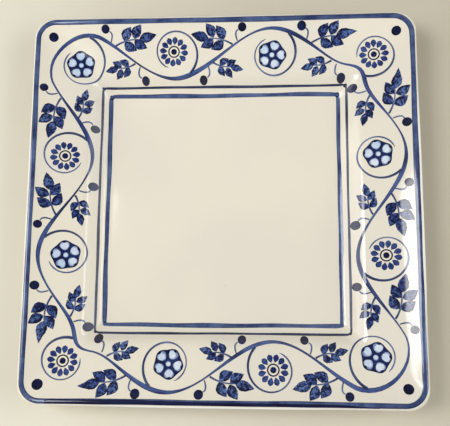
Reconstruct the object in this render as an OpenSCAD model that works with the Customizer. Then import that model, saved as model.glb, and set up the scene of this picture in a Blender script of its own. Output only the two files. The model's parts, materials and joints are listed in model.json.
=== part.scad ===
// Square dinner plate in white glazed earthenware, with a blue painted border.
// The frame's origin is the middle of the foot's bearing face, on the table, with +Z up.

/* [Plate] */
// Width of the glazed plate from edge to edge
plate_w = 270; // [250:1:300]
// Height of the rim's edge above the table
plate_h = 29; // [26:0.5:34]
// Radius of the plate's four outer corners, seen from above
edge_corner_r = 13; // [9:1:24]
// Thickness of the clay in the rim and the wall
clay_t = 4.6; // [3.6:0.1:6]
// Angle of the rim's face where it starts, beside the wall
rim_low_angle = 13; // [8:1:18]
// Angle of the rim's face where it ends, at the edge
rim_high_angle = 25; // [20:1:30]

/* [Well] */
// Width of the well's flat floor
well_w = 160; // [140:1:168]
// Radius of the well floor's corners, seen from above
well_corner_r = 5; // [4:1:12]
// Width of the curved wall between the floor and the rim, seen from above
wall_w = 18; // [14:0.5:22]
// Rise of the wall from the floor to the rim
wall_rise = 11.5; // [8:0.5:13]
// Thickness of the clay under the well
floor_t = 4.6; // [3.6:0.1:6]

/* [Foot] */
// Outer width of the square foot ring
foot_w = 164; // [150:1:168]
// Width of the ring itself
foot_ring_w = 5.5; // [4:0.5:8]
// Height of the clay base above the table, inside the ring
foot_h = 2.6; // [2:0.1:3.4]
// Rounding of the ring's two lower edges
foot_round = 0.8; // [0.4:0.1:1]
// Height of the bare clay left between the glaze and the table
glaze_line_h = 1.2; // [1:0.1:1.6]

/* [Glaze] */
// Thickness of the white glaze
glaze_t = 0.4; // [0.2:0.05:0.6]

/* [Painted lines] */
// Height of the blue colour at its thickest, above the glaze
paint_t = 0.16; // [0.08:0.02:0.3]
// Hairline left under the colour
paint_gap = 0.08; // [0.06:0.01:0.12]
// Width of the blue band along the edge
band_w = 3.5; // [2:0.1:5]
// Distance from the plate's edge to the middle of the band
band_inset = 3.2; // [2.6:0.1:5]
// Width of the inner line, at the foot of the wall
inner_line_w = 1.9; // [1:0.1:2.6]
// Distance of the inner line outside the floor of the well
inner_line_out = 2.5; // [1.5:0.5:4]
// Width of the outer line, halfway up the wall
outer_line_w = 1.3; // [0.8:0.1:2]
// Distance of the outer line outside the floor of the well
outer_line_out = 8; // [7:0.5:10]

/* [Painted border] */
// Radius of the turn that the border's middle makes at each corner, as a share of half its width
border_turn_share = 0.97; // [0.9:0.01:1.1]
// Largest size of the motifs, as a share of the length of one swing of the vine
motif_pitch_share = 0.3; // [0.25:0.01:0.32]
// The shares below are all shares of the motifs' size, which is half the border's width
// Space left between the vine and the lines on each side of the border
vine_clear_share = 0.16; // [0.12:0.01:0.24]
// Width of the vine where the brush pressed hardest
vine_w_share = 0.096; // [0.06:0.002:0.11]
// Width of the scrolls, the stems and the tendrils
scroll_w_share = 0.053; // [0.03:0.001:0.06]
// Radius of a blossom
blossom_share = 0.5; // [0.4:0.01:0.52]
// Space left between a blossom and the scroll round it
scroll_clear_share = 0.04; // [0.02:0.01:0.06]
// Length of a leaf on the large sprigs
large_leaf_l_share = 0.63; // [0.5:0.01:0.66]
// Width of a leaf on the large sprigs
large_leaf_w_share = 0.29; // [0.2:0.01:0.3]
// Length of a leaf on the small sprigs
small_leaf_l_share = 0.46; // [0.35:0.01:0.5]
// Width of a leaf on the small sprigs
small_leaf_w_share = 0.21; // [0.15:0.01:0.22]
// Radius of a berry at the end of a tendril
berry_share = 0.125; // [0.08:0.005:0.14]
// Radius of the single dot in each corner
corner_dot_share = 0.165; // [0.12:0.005:0.19]

/* [Smoothness] */
// Number of steps in each corner of the plate
corner_steps = 7; // [6:1:12]
// Number of steps in each long curve of the profile
curve_steps = 6; // [5:1:10]
// Number of steps in the round of the edge
edge_steps = 6; // [4:2:8]

/* [Hidden] */

clay_colour = [0.86, 0.78, 0.68];
glaze_colour = [0.92, 0.88, 0.81];
cobalt = [0.20, 0.27, 0.52];
deep_cobalt = [0.05, 0.07, 0.25];
pale_cobalt = [0.66, 0.75, 0.88];

// Plane geometry
right_angle = 90;
half_turn = 180;
full_turn = 360;
function unit(v) = v / norm(v);
function cross_2d(a, b) = a.x * b.y - a.y * b.x;
function rotated(p, angle) = [
    p.x * cos(angle) - p.y * sin(angle),
    p.x * sin(angle) + p.y * cos(angle)
];
function direction(angle) = [cos(angle), sin(angle)];
function reversed(list) = [for (i = [len(list) - 1:-1:0]) list[i]];
function anticlockwise(outline, middle) =
    cross_2d(outline[0] - middle, outline[1] - middle) > 0 ? outline : reversed(outline);
function bezier(a, b, c, d, steps) = [
    for (i = [1:steps])
        let (t = i / steps, u = 1 - t)
            u * u * u * a + 3 * u * u * t * b + 3 * u * t * t * c + t * t * t * d
];

// The plate's profile: each point is [distance from the centre, height]
edge_half = plate_w / 2 - glaze_t;
well_half = well_w / 2;
foot_half = foot_w / 2;
floor_z = foot_h + floor_t;
wall_top = [well_half + wall_w, floor_z + wall_rise];
edge_round = clay_t / 2;
edge_centre = [edge_half - edge_round, plate_h - glaze_t - edge_round];
function edge_point(angle) = edge_centre + edge_round * direction(angle);
face_end = edge_point(right_angle + rim_high_angle);

wall_foot_pull_share = 0.5;
wall_top_pull_share = 0.42;
rim_pull_share = 0.4;
rim_l = norm(face_end - wall_top);
wall_curve = bezier(
    [well_half, floor_z],
    [well_half + wall_foot_pull_share * wall_w, floor_z],
    wall_top - wall_top_pull_share * wall_w * direction(rim_low_angle),
    wall_top,
    curve_steps
);
rim_curve = bezier(
    wall_top,
    wall_top + rim_pull_share * rim_l * direction(rim_low_angle),
    face_end - rim_pull_share * rim_l * direction(rim_high_angle),
    face_end,
    curve_steps
);
clay_face = concat([[well_half, floor_z]], wall_curve, rim_curve);
clay_edge = [
    for (i = [1:edge_steps])
        edge_point(right_angle + rim_high_angle - half_turn * i / edge_steps)
];

// Point i of a curve, moved out of the clay, or into it where the distance is negative
function beside(curve, i, distance) =
    let (
        before = curve[max(i - 1, 0)],
        after = curve[min(i + 1, len(curve) - 1)],
        along = i == 0 ? [1, 0] : unit(after - before)
    )
    curve[i] + distance * [-along.y, along.x];
under_stride = 2;
clay_under = [
    for (i = [len(clay_face) - 2:-under_stride:1])
        let (p = beside(clay_face, i, -clay_t))
            if (p.x > foot_half + foot_round) p
];
foot_inside = foot_half - foot_ring_w;
clay_foot = [
    [foot_half, glaze_line_h + glaze_t],
    [foot_half, glaze_line_h],
    [foot_half, foot_round],
    [foot_half - foot_round, 0],
    [foot_inside + foot_round, 0],
    [foot_inside, foot_round],
    [foot_inside, glaze_line_h]
];
clay_base = [
    [foot_inside, foot_h - foot_round],
    [foot_inside - foot_round, foot_h]
];
face_side = concat(clay_face, clay_edge, clay_under, [clay_foot[0], clay_foot[1]]);
base_side = concat([clay_foot[len(clay_foot) - 1]], clay_base);
clay_profile = concat(clay_face, clay_edge, clay_under, clay_foot, clay_base);
glaze_face = [for (i = [0:len(face_side) - 1]) beside(face_side, i, glaze_t)];
glaze_base = [
    [foot_inside - glaze_t, glaze_line_h],
    [foot_inside - glaze_t, foot_h - foot_round - glaze_t / 2],
    [foot_inside - foot_round - glaze_t / 2, foot_h - glaze_t]
];

// Corner radius, seen from above, of the ring of the plate at a distance from its centre
corner_gain_share = (edge_corner_r - well_corner_r) / (edge_half - well_half);
corner_r_at_centre = well_corner_r - corner_gain_share * well_half;
function corner_r(half) = corner_r_at_centre + corner_gain_share * half;
function ring(half, z) =
    let (r = corner_r(half), c = half - r)
    [
        for (side = [0:3], step = [0:corner_steps])
            let (
                angle = right_angle * (side + step / corner_steps),
                p = rotated([c, c], right_angle * side) + r * direction(angle)
            )
            [p.x, p.y, z]
    ];

// The two triangles of a four-sided face
function halves(a, b, c, d) = [[a, b, c], [a, c, d]];

// A closed solid through the rings of a profile, with a flat face on its first and last ring
module lofted(profile) {
    n = 4 * (corner_steps + 1);
    rings = len(profile);
    polyhedron(
        points = [for (p = profile) each ring(p.x, p.y)],
        faces = concat(
            [[for (j = [n - 1:-1:0]) j]],
            [
                for (i = [0:rings - 2], j = [0:n - 1])
                    let (k = (j + 1) % n)
                        each halves(i * n + j, i * n + k, (i + 1) * n + k, (i + 1) * n + j)
            ],
            [[for (j = [0:n - 1]) (rings - 1) * n + j]]
        )
    );
}

module clay_body() {
    color(clay_colour) lofted(clay_profile);
}

module face_glaze() {
    color(glaze_colour) lofted(concat(glaze_face, reversed(face_side)));
}

module base_glaze() {
    color(glaze_colour) lofted(concat(reversed(base_side), glaze_base));
}

// Height of the glazed face over any point of the plan
painted_steps = len(clay_face) + edge_steps / 2 - 1;
painted_curve = [for (i = [0:painted_steps]) glaze_face[i]];
function ring_through(p) =
    let (
        x = abs(p.x),
        y = abs(p.y),
        half = max(x, y),
        k = corner_gain_share,
        r = corner_r_at_centre,
        a = 2 * (1 - k) * (1 - k) - k * k,
        b = (1 - k) * (x + y + 2 * r) + k * r,
        c = (x + r) * (x + r) + (y + r) * (y + r) - r * r
    )
    min(x, y) <= half - corner_r(half) ? half : (b - sqrt(b * b - a * c)) / a;
function on_glaze(p, lift) = [
    p.x, p.y, lookup(ring_through(p), painted_curve) + paint_gap + lift
];

// Sections of a stroke, as [share of half its width, share of the colour's height]
thin_section_shares = [[1, 0], [0, 1], [-1, 0]];
line_section_shares = [[1, 0], [0, 1], [-1, 0], [0, 0]];
band_section_shares = [[1, 0], [0.5, 1], [-0.5, 1], [-1, 0], [-0.5, 0], [0.5, 0]];

// A stroke of the brush along a path of [x, y, width] points
module stroke(path, closed = false, section = thin_section_shares, bed = 0) {
    n = len(path);
    m = len(section);
    links = closed ? n : n - 1;
    points = [
        for (i = [0:n - 1])
            let (
                before = closed ? path[(i + n - 1) % n] : path[max(i - 1, 0)],
                after = closed ? path[(i + 1) % n] : path[min(i + 1, n - 1)],
                along = unit([after.x - before.x, after.y - before.y]),
                across = path[i][2] / 2 * [-along.y, along.x]
            )
            for (s = section)
                on_glaze([path[i].x, path[i].y] + s[0] * across, bed + s[1] * paint_t)
    ];
    last = m * (n - 1);
    polyhedron(
        points = points,
        faces = concat(
            closed ? [] : [
                for (k = [1:m - 2])
                    each [[0, k, k + 1], [last, last + k + 1, last + k]]
            ],
            [
                for (i = [0:links - 1], e = [0:m - 1])
                    let (a = m * i, b = m * ((i + 1) % n), f = (e + 1) % m)
                        each halves(a + e, b + e, b + f, a + f)
            ]
        )
    );
}

// A touch of the brush: it thins out from its middle to its outline
module touch(outline, middle, bed = 0) {
    rim = anticlockwise(outline, middle);
    n = len(rim);
    polyhedron(
        points = concat(
            [for (p = rim) on_glaze(p, bed)],
            [on_glaze(middle, bed + paint_t), on_glaze(middle, bed)]
        ),
        faces = [
            for (i = [0:n - 1])
                let (k = (i + 1) % n)
                    each [[n, k, i], [n + 1, i, k]]
        ]
    );
}

// A patch of colour, equally thick up to its outline, that follows the face in rings
patch_ring_shares = [1, 0.72, 0.4];
module patch(outline, middle) {
    rim = anticlockwise(outline, middle);
    n = len(rim);
    m = n * len(patch_ring_shares);
    plan = [for (share = patch_ring_shares, p = rim) middle + share * (p - middle)];
    polyhedron(
        points = concat(
            [for (p = plan) on_glaze(p, 0)],
            [for (p = plan) on_glaze(p, paint_t)],
            [on_glaze(middle, 0), on_glaze(middle, paint_t)]
        ),
        faces = [
            for (i = [0:n - 1])
                let (k = (i + 1) % n, inner = m - n)
                    each concat(
                        [[2 * m, inner + i, inner + k], [2 * m + 1, m + inner + k, m + inner + i]],
                        halves(i, m + i, m + k, k),
                        [
                            for (at = [0:n:inner - n])
                                each concat(
                                    halves(at + i, at + k, at + n + k, at + n + i),
                                    halves(m + at + k, m + at + i, m + at + n + i, m + at + n + k)
                                )
                        ]
                    )
        ]
    );
}

function disc(centre, r, steps) = [
    for (i = [0:steps - 1]) centre + r * direction(full_turn * i / steps)
];

// A fixed irregularity of the hand, from -1 to 1, different for each motif
golden_angle = 137.5;
other_angle = 53.1;
function hand(index, kind = 0) = sin(golden_angle * index * (1 + kind) + other_angle * kind);

// The band along the edge, and the darker stroke laid over its near side
function band_path(half, width) = [for (p = ring(half, 0)) [p.x, p.y, width]];
band_half = plate_w / 2 - band_inset;
module rim_band() {
    color(cobalt)
        stroke(band_path(band_half, band_w), closed = true, section = band_section_shares);
}

lap_steps = 12;
lap_reach_share = 0.86;
lap_w_share = 0.4;
lap_waver_share = 0.06;
module band_lap() {
    reach = lap_reach_share * (band_half - corner_r(band_half));
    color(deep_cobalt)
        stroke(
            [
                for (i = [0:lap_steps])
                    let (swell = sin(half_turn * (i + 1) / (lap_steps + 2)))
                        [
                            reach * (2 * i / lap_steps - 1),
                            -band_half + lap_waver_share * band_w * hand(i),
                            lap_w_share * band_w * (1 + swell) / 2
                        ]
            ],
            bed = paint_t
        );
}

// The two lines round the well, drawn side by side with nearly square corners
line_steps = 5;
line_waver_share = 0.12;
line_swell_share = 0.2;
line_corner_share = 0.12;
function well_line_path(at, width, kind) = [
    for (side = [3:-1:0], i = [line_steps + 1:-1:0])
        let (
            r = corner_r(at),
            corner = i > line_steps,
            along = corner
                ? at - line_corner_share * r
                : (at - r) * (2 * i / line_steps - 1),
            waver = i == 0 || i == line_steps ? 0 : line_waver_share * width * hand(i + 9 * side, kind),
            p = rotated([corner ? along : at + waver, along], right_angle * side)
        )
        [
            p.x,
            p.y,
            width * (corner ? sqrt(2) : 1 + line_swell_share * hand(i + 5 * side, kind + 1))
        ]
];
inner_line_at = well_half + inner_line_out;
outer_line_at = well_half + outer_line_out;
module inner_well_line() {
    color(cobalt)
        stroke(
            well_line_path(inner_line_at, inner_line_w, 1),
            closed = true, section = line_section_shares
        );
}

module outer_well_line() {
    color(cobalt)
        stroke(
            well_line_path(outer_line_at, outer_line_w, 2),
            closed = true, section = line_section_shares
        );
}

// Where the strokes of a line lap at a corner, the colour is twice as thick
line_lap_share = 0.95;
line_lap_points = 8;
module line_laps() {
    color(deep_cobalt)
        for (side = [0:3], line = [[inner_line_at, inner_line_w], [outer_line_at, outer_line_w]]) {
            corner = line[0] - line_corner_share * corner_r(line[0]);
            centre = rotated([corner, corner], right_angle * side);
            touch(disc(centre, line_lap_share * line[1], line_lap_points), centre, paint_t);
        }
}

// The border's own coordinates: sides counted clockwise from the middle of the far side,
// and distance out from the middle of the border
border_in = outer_line_at + outer_line_w / 2;
border_out = band_half - band_w / 2;
border_mid = (border_in + border_out) / 2;
border_half = (border_out - border_in) / 2;
border_turn_r = border_turn_share * border_half;
straight_half = border_mid - border_turn_r;
side_half_l = straight_half + border_turn_r * PI / 4;
function border_turn(along) =
    let (past = abs(along) - straight_half)
    past <= 0 ? 0 : sign(along) * past / border_turn_r * half_turn / PI;
function border_point(sides, out) =
    let (
        side = round(sides),
        along = 2 * (sides - side) * side_half_l,
        turn = border_turn(along),
        middle = turn == 0
            ? [along, border_mid]
            : [
                sign(along) * straight_half + border_turn_r * sin(turn),
                straight_half + border_turn_r * cos(turn)
            ]
    )
    rotated(middle + out * [sin(turn), cos(turn)], -right_angle * side);
function border_angle(sides) =
    let (side = round(sides), along = 2 * (sides - side) * side_half_l)
    -right_angle * side - border_turn(along);

// The vine swings from side to side of the border, an odd number of times on each side
swing_pitch_share = 3.4;
swings_wanted = 2 * side_half_l / (swing_pitch_share * border_half);
swings_per_side = 1 + 2 * max(1, round((swings_wanted - 1) / 2));
swings = 4 * swings_per_side;
swing_l = 2 * side_half_l / swings_per_side;
motif_size = min(border_half, motif_pitch_share * swing_l);
vine_clear = vine_clear_share * motif_size;
vine_w = vine_w_share * motif_size;
vine_swing = border_half - vine_clear - vine_w / 2;
swing_steps = 9;
wide_swing_steps = 15;
vine_thin_share = 0.4;
inner_corner_share = 0.42;
function vine_out(at) =
    let (
        i = floor(at * swings_per_side),
        swing = sin(half_turn * swings_per_side * at),
        tight = at_corner(i) && bend_side(i) < 0
    )
    vine_swing * swing * (tight ? 1 - inner_corner_share * swing * swing : 1);
function vine_width(at) =
    vine_w * (1 - vine_thin_share * pow(sin(half_turn * swings_per_side * at + other_angle), 2));
function bend_side(i) = i % 2 == 0 ? 1 : -1;
function at_corner(i) = i % swings_per_side == (swings_per_side - 1) / 2;
module vine() {
    stops = [
        for (i = [0:swings - 1])
            let (steps = at_corner(i) && bend_side(i) > 0 ? wide_swing_steps : swing_steps)
                for (k = [0:steps - 1]) (i + k / steps) / swings_per_side
    ];
    color(cobalt)
        stroke(
            [
                for (at = stops)
                    let (p = border_point(at, vine_out(at)))
                        [p.x, p.y, vine_width(at)]
            ],
            closed = true
        );
}

// A blossom stands in each bend of the vine, roses and asters in turn
blossom_r = blossom_share * motif_size;
blossom_drop_share = 0.16;
corner_push_share = 0.25;
blossom_spread_angle = 25;
function is_rose(i) = i % 2 == 0;
function blossom_at(i) = (i + 0.5) / swings_per_side;
function blossom_out(i) =
    -blossom_drop_share * blossom_r * bend_side(i)
    + (at_corner(i) && bend_side(i) < 0 ? corner_push_share * blossom_r : 0);
function blossom_centre(i) = border_point(blossom_at(i), blossom_out(i));
function blossom_angle(i) = border_angle(blossom_at(i)) + blossom_spread_angle * hand(i);

// An outline drawn beside a blossom's centre, put in its place
function on_blossom(outline, i, angle) = [
    for (p = outline) blossom_centre(i) + rotated(p, blossom_angle(i) + angle)
];

// A thin scroll leaves the vine after each bend, and curls round the blossom
scroll_steps = 12;
scroll_start_share = 0.17;
scroll_turn = 300;
scroll_ease = 2;
scroll_press_share = 0.35;
scroll_w = scroll_w_share * motif_size;
scroll_clear = scroll_clear_share * motif_size;
vine_gap = 0.12;
function scroll_path(i) =
    let (
        at = blossom_at(i) + scroll_start_share / swings_per_side,
        edge = bend_side(i) * (vine_w / 2 + vine_gap),
        start = border_point(at, vine_out(at) - edge) - blossom_centre(i),
        end_r = blossom_r + scroll_clear + scroll_w / 2,
        angle = atan2(start.y, start.x)
    )
    [
        for (k = [0:scroll_steps])
            let (
                t = k / scroll_steps,
                r = end_r + (norm(start) - end_r) * pow(1 - t, scroll_ease),
                p = blossom_centre(i) + r * direction(angle - bend_side(i) * scroll_turn * t),
                press = 1 - scroll_press_share * sin(half_turn * t)
            )
            [p.x, p.y, scroll_w * press]
    ];
module scrolls() {
    color(cobalt)
        for (i = [0:swings - 1]) stroke(scroll_path(i));
}

// Roses: a dark scalloped ground with five pale petals and a pale heart
rose_petals_n = 5;
rose_ground_points = 15;
scallop_share = 0.06;
petal_out_share = 0.61;
petal_l_share = 0.29;
petal_w_share = 0.3;
petal_notch_share = 0.1;
petal_points = 9;
rose_heart_share = 0.17;
rose_heart_points = 7;
petal_outline = [
    for (i = [0:petal_points - 1])
        let (angle = full_turn * i / petal_points, notch = max(0, cos(angle)))
            blossom_r * [
                petal_out_share + petal_l_share * cos(angle) - petal_notch_share * pow(notch, 8),
                petal_w_share * sin(angle) * (1 + cos(angle) / 3)
            ]
];
rose_outline = [
    for (i = [0:rose_ground_points - 1])
        let (angle = full_turn * i / rose_ground_points)
            blossom_r * (1 - scallop_share * (1 - cos(rose_petals_n * angle))) * direction(angle)
];
module rose_grounds() {
    color(deep_cobalt)
        for (i = [0:swings - 1])
            if (is_rose(i)) patch(on_blossom(rose_outline, i, 0), blossom_centre(i));
}

rose_bed = paint_t + 2 * paint_gap;
module rose_petals() {
    color(pale_cobalt)
        for (i = [0:swings - 1])
            if (is_rose(i)) {
                for (k = [0:rose_petals_n - 1]) {
                    angle = full_turn * k / rose_petals_n;
                    middle = [[petal_out_share * blossom_r, 0]];
                    touch(
                        on_blossom(petal_outline, i, angle),
                        on_blossom(middle, i, angle)[0],
                        rose_bed
                    );
                }
                touch(
                    disc(blossom_centre(i), rose_heart_share * blossom_r, rose_heart_points),
                    blossom_centre(i),
                    rose_bed
                );
            }
}

// The half outline of a leaf swells from its stalk and runs out to a point
leaf_fullness_share = 0.8;
function leaf_outline(length, width, steps, bend = 0) = [
    for (i = [0:2 * steps - 1])
        let (
            t = i <= steps ? i / steps : 2 - i / steps,
            side = i < steps ? -1 : 1,
            swell = sin(half_turn * pow(t, leaf_fullness_share))
        )
        [length * t, side * width / 2 * swell + bend * swell]
];

// Asters: a wheel of narrow petals round a ringed heart
aster_petals_n = 12;
aster_start_share = 0.46;
aster_petal_w_share = 0.38;
aster_petal_steps = 3;
module aster_petals() {
    outline = [
        for (
            p = leaf_outline(
                (1 - aster_start_share) * blossom_r, aster_petal_w_share * blossom_r,
                aster_petal_steps
            )
        )
            [blossom_r - p.x, p.y]
    ];
    middle = [[(1 + aster_start_share) / 2 * blossom_r, 0]];
    color(cobalt)
        for (i = [0:swings - 1], k = [0:aster_petals_n - 1])
            if (!is_rose(i)) {
                angle = full_turn * k / aster_petals_n;
                touch(on_blossom(outline, i, angle), on_blossom(middle, i, angle)[0]);
            }
}

aster_ring_share = 0.36;
aster_ring_w_share = 0.09;
aster_ring_points = 12;
aster_heart_share = 0.2;
aster_heart_points = 8;
module aster_hearts() {
    color(deep_cobalt)
        for (i = [0:swings - 1])
            if (!is_rose(i)) {
                centre = blossom_centre(i);
                wheel = disc(centre, aster_ring_share * blossom_r, aster_ring_points);
                stroke(
                    [for (p = wheel) [p.x, p.y, aster_ring_w_share * blossom_r]],
                    closed = true
                );
                touch(disc(centre, aster_heart_share * blossom_r, aster_heart_points), centre);
            }
}

// Each crossing of the vine leaves a field on both sides of it. A field's own coordinates
// run from the crossing into the open end of the field, and from the border's middle outwards.
function field_way(i, side) = -side * bend_side(i);
function field_point(i, side, p) =
    border_point(
        i / swings_per_side + field_way(i, side) * p.x / (2 * side_half_l),
        side * p.y
    );
function in_field(outline, i, side) = [for (p = outline) field_point(i, side, p)];
function vine_in_field(x) = -vine_swing * sin(half_turn * x / swing_l);
module field_stroke(path, i, side) {
    stroke([for (q = path) let (p = field_point(i, side, [q.x, q.y])) [p.x, p.y, q[2]]]);
}

// A sprig grows out of the vine, with leaves in pairs and one at its tip
sprig_foot_share = -0.1;
sprig_angle = 14;
sprig_bow_share = 0.08;
sprig_stem_share = 1.35;
sprig_pair_shares = [0.36, 0.78];
sprig_stem_steps = 3;
leaf_spread_angle = 46;
pair_size_share = 0.82;
leaf_bend_share = 0.06;
large_leaf_l = large_leaf_l_share * motif_size;
large_leaf_w = large_leaf_w_share * motif_size;
small_leaf_l = small_leaf_l_share * motif_size;
small_leaf_w = small_leaf_w_share * motif_size;
function sprig_foot(gap) =
    let (x = sprig_foot_share * swing_l)
    [x, vine_in_field(x) + vine_w / 2 + gap];
function sprig_axis(leaf_l, share) =
    sprig_foot(vine_gap)
    + rotated(
        sprig_stem_share * leaf_l * [share, 4 * sprig_bow_share * share * (1 - share)],
        sprig_angle
    );
module sprig_leaf(i, side, foot, angle, length, width, steps, bend) {
    outline = [
        for (p = leaf_outline(length, width, steps, bend)) foot + rotated(p, angle)
    ];
    middle = foot + rotated([length / 2, bend], angle);
    touch(in_field(outline, i, side), field_point(i, side, middle));
}

module sprig_leaves(i, side, leaf_l, leaf_w, steps) {
    sprig_leaf(i, side, sprig_axis(leaf_l, 1), sprig_angle, leaf_l, leaf_w, steps, 0);
    for (share = sprig_pair_shares, turn = [-1, 1]) {
        angle = sprig_angle + turn * leaf_spread_angle;
        foot = sprig_axis(leaf_l, share) + (scroll_w / 2 + vine_gap) * direction(angle);
        sprig_leaf(
            i, side, foot, angle, pair_size_share * leaf_l, leaf_w, steps,
            turn * leaf_bend_share * leaf_l
        );
    }
}

module large_leaves() {
    steps = 4;
    color(cobalt)
        for (i = [0:swings - 1]) sprig_leaves(i, 1, large_leaf_l, large_leaf_w, steps);
}

module small_leaves() {
    steps = 3;
    color(cobalt)
        for (i = [0:swings - 1]) sprig_leaves(i, -1, small_leaf_l, small_leaf_w, steps);
}

module sprig_stems() {
    color(cobalt)
        for (i = [0:swings - 1], kind = [[1, large_leaf_l], [-1, small_leaf_l]])
            field_stroke(
                [
                    for (k = [0:sprig_stem_steps])
                        let (t = k / sprig_stem_steps, p = sprig_axis(kind[1], t))
                            [p.x, p.y, scroll_w * (1 - t / 2)]
                ],
                i, kind[0]
            );
}

// A tendril with a berry curls back from the vine at the closed end of each field
berry_along_share = -0.2;
tendril_along_share = -0.15;
tendril_steps = 4;
tendril_angle = -30;
tendril_thin_share = 0.7;
berry_r = berry_share * motif_size;
berry_out_share = 0.38;
berry_points = 8;
berry_spot = let (x = berry_along_share * swing_l) [
    x,
    vine_in_field(x) + berry_out_share * motif_size
];
module tendrils() {
    x = tendril_along_share * swing_l;
    foot = [x, vine_in_field(x) + vine_w / 2 + vine_gap];
    tip = berry_spot + (berry_r + vine_gap) * direction(tendril_angle);
    color(cobalt)
        for (i = [0:swings - 1], side = [-1, 1])
            field_stroke(
                [
                    for (
                        q = concat(
                            [foot],
                            bezier(
                                foot,
                                foot + berry_r * direction(70),
                                tip + berry_r * direction(-20),
                                tip,
                                tendril_steps
                            )
                        )
                    )
                        [q.x, q.y, tendril_thin_share * scroll_w]
                ],
                i, side
            );
}

module berries() {
    color(deep_cobalt)
        for (i = [0:swings - 1], side = [-1, 1]) {
            centre = field_point(i, side, berry_spot);
            touch(disc(centre, berry_r, berry_points), centre);
        }
}

// One dot stands alone in each outer corner
corner_dot_points = 12;
corner_dot_r = corner_dot_share * motif_size;
corner_dot_out_share = 0.24;
module corner_dots() {
    color(deep_cobalt)
        for (side = [0:3]) {
            centre = border_point(side + 0.5, border_half + corner_dot_out_share * motif_size);
            touch(disc(centre, corner_dot_r, corner_dot_points), centre);
        }
}

clay_body();
face_glaze();
base_glaze();
rim_band();
band_lap();
inner_well_line();
outer_well_line();
line_laps();
vine();
scrolls();
sprig_stems();
large_leaves();
small_leaves();
rose_grounds();
rose_petals();
aster_petals();
aster_hearts();
tendrils();
berries();
corner_dots();
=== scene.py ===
"""A square dinner plate in white glaze with a blue painted border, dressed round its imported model.

The glazed body is lofted from rounded square rings. The colour is drawn flat, as a painter would,
stroke by stroke, and is then laid on the curved face of the glaze.
"""

import json
import logging
import math
from collections.abc import Callable, Sequence
from dataclasses import dataclass, field
from enum import Enum, IntEnum

import bmesh
import bpy
from mathutils import Matrix, Vector

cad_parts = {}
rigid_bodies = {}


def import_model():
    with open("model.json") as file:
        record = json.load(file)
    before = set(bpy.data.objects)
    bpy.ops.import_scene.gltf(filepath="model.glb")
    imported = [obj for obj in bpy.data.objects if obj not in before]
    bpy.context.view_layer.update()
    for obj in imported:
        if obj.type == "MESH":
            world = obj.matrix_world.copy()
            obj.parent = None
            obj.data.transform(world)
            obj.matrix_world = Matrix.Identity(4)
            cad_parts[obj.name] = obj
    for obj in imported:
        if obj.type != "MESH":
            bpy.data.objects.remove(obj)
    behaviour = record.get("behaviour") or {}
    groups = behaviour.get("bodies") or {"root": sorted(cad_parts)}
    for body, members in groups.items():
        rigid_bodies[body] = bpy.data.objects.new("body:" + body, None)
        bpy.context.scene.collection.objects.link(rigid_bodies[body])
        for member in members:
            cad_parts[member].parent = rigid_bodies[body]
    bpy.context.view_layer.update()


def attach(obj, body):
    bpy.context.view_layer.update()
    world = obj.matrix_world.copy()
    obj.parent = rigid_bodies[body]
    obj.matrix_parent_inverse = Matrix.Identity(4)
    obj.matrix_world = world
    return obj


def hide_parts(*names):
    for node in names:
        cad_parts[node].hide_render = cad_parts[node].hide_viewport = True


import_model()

MM = 0.001

# Height of the sheet on which each mark is drawn flat, in millimetres
SHEET_Z = 60.0

# First thickness of an inset ring, which is then scaled to its size, in millimetres
INSET_T = 0.001

# A new path in Blender has five points, and is four times as long as its radius
PATH_POINTS = 5
PATH_L = 4

# Step between the irregularities of the hand, and start of each kind, in degrees
HAND_STEP = 137.5
HAND_START = 53.1

# Length in millimetres, start of each kind and share of the slow and the quick waver of a line
WAVERS = ((19.0, 2.1, 0.65), (7.3, 4.7, 0.35))

log = logging.getLogger("square_plate")

Point = tuple[float, float]
Span = tuple[float, float]
Triple = tuple[float, float, float]
StrokePoint = tuple[float, float, float]
Colour = tuple[float, float, float, float]
Part = bmesh.types.BMVert | bmesh.types.BMEdge
Value = float | Colour | bpy.types.NodeSocket


class Outline(Enum):
    """How a painted mark's UV map tells its middle from its outline."""

    STROKE = "stroke"
    LEAF = "leaf"
    DAB = "dab"


class Select(Enum):
    """What a selection in edit mode is made of."""

    VERTS = "VERT"
    EDGES = "EDGE"


class Uneven(IntEnum):
    """Which irregularity of the hand or of the kiln is asked for. Two may share a sequence."""

    FREE = 0
    BOW = 1
    SAG = 2
    LIFT = 3
    CORNER_SIZE = 2
    BERRY_SIZE = 4
    BERRY_TURN = 5
    DOT_SIZE = 6


class Waver(IntEnum):
    """Which waver of a drawn line is asked for. Two may share a course."""

    BAND_WIDTH = 1
    BAND_PLACE = 2
    INNER_LINE = 1
    OUTER_LINE = 2
    LINE_WIDTH = 3
    LAP_PLACE = 4
    LAP_WIDTH = 5
    VINE_WIDTH = 7


# Points of the plan


def turned(point: Point, degrees: float) -> Point:
    """Turns a point of the plan about the origin.

    Args:
        point: The point.
        degrees: The angle, anticlockwise.

    Returns:
        The turned point.
    """
    cos, sin = math.cos(math.radians(degrees)), math.sin(math.radians(degrees))
    return point[0] * cos - point[1] * sin, point[0] * sin + point[1] * cos


def moved(point: Point, by: Point, share: float = 1.0) -> Point:
    """Adds a share of one vector of the plan to a point."""
    return point[0] + share * by[0], point[1] + share * by[1]


def heading(degrees: float) -> Point:
    """Gives the unit vector of the plan at an angle."""
    return math.cos(math.radians(degrees)), math.sin(math.radians(degrees))


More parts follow.
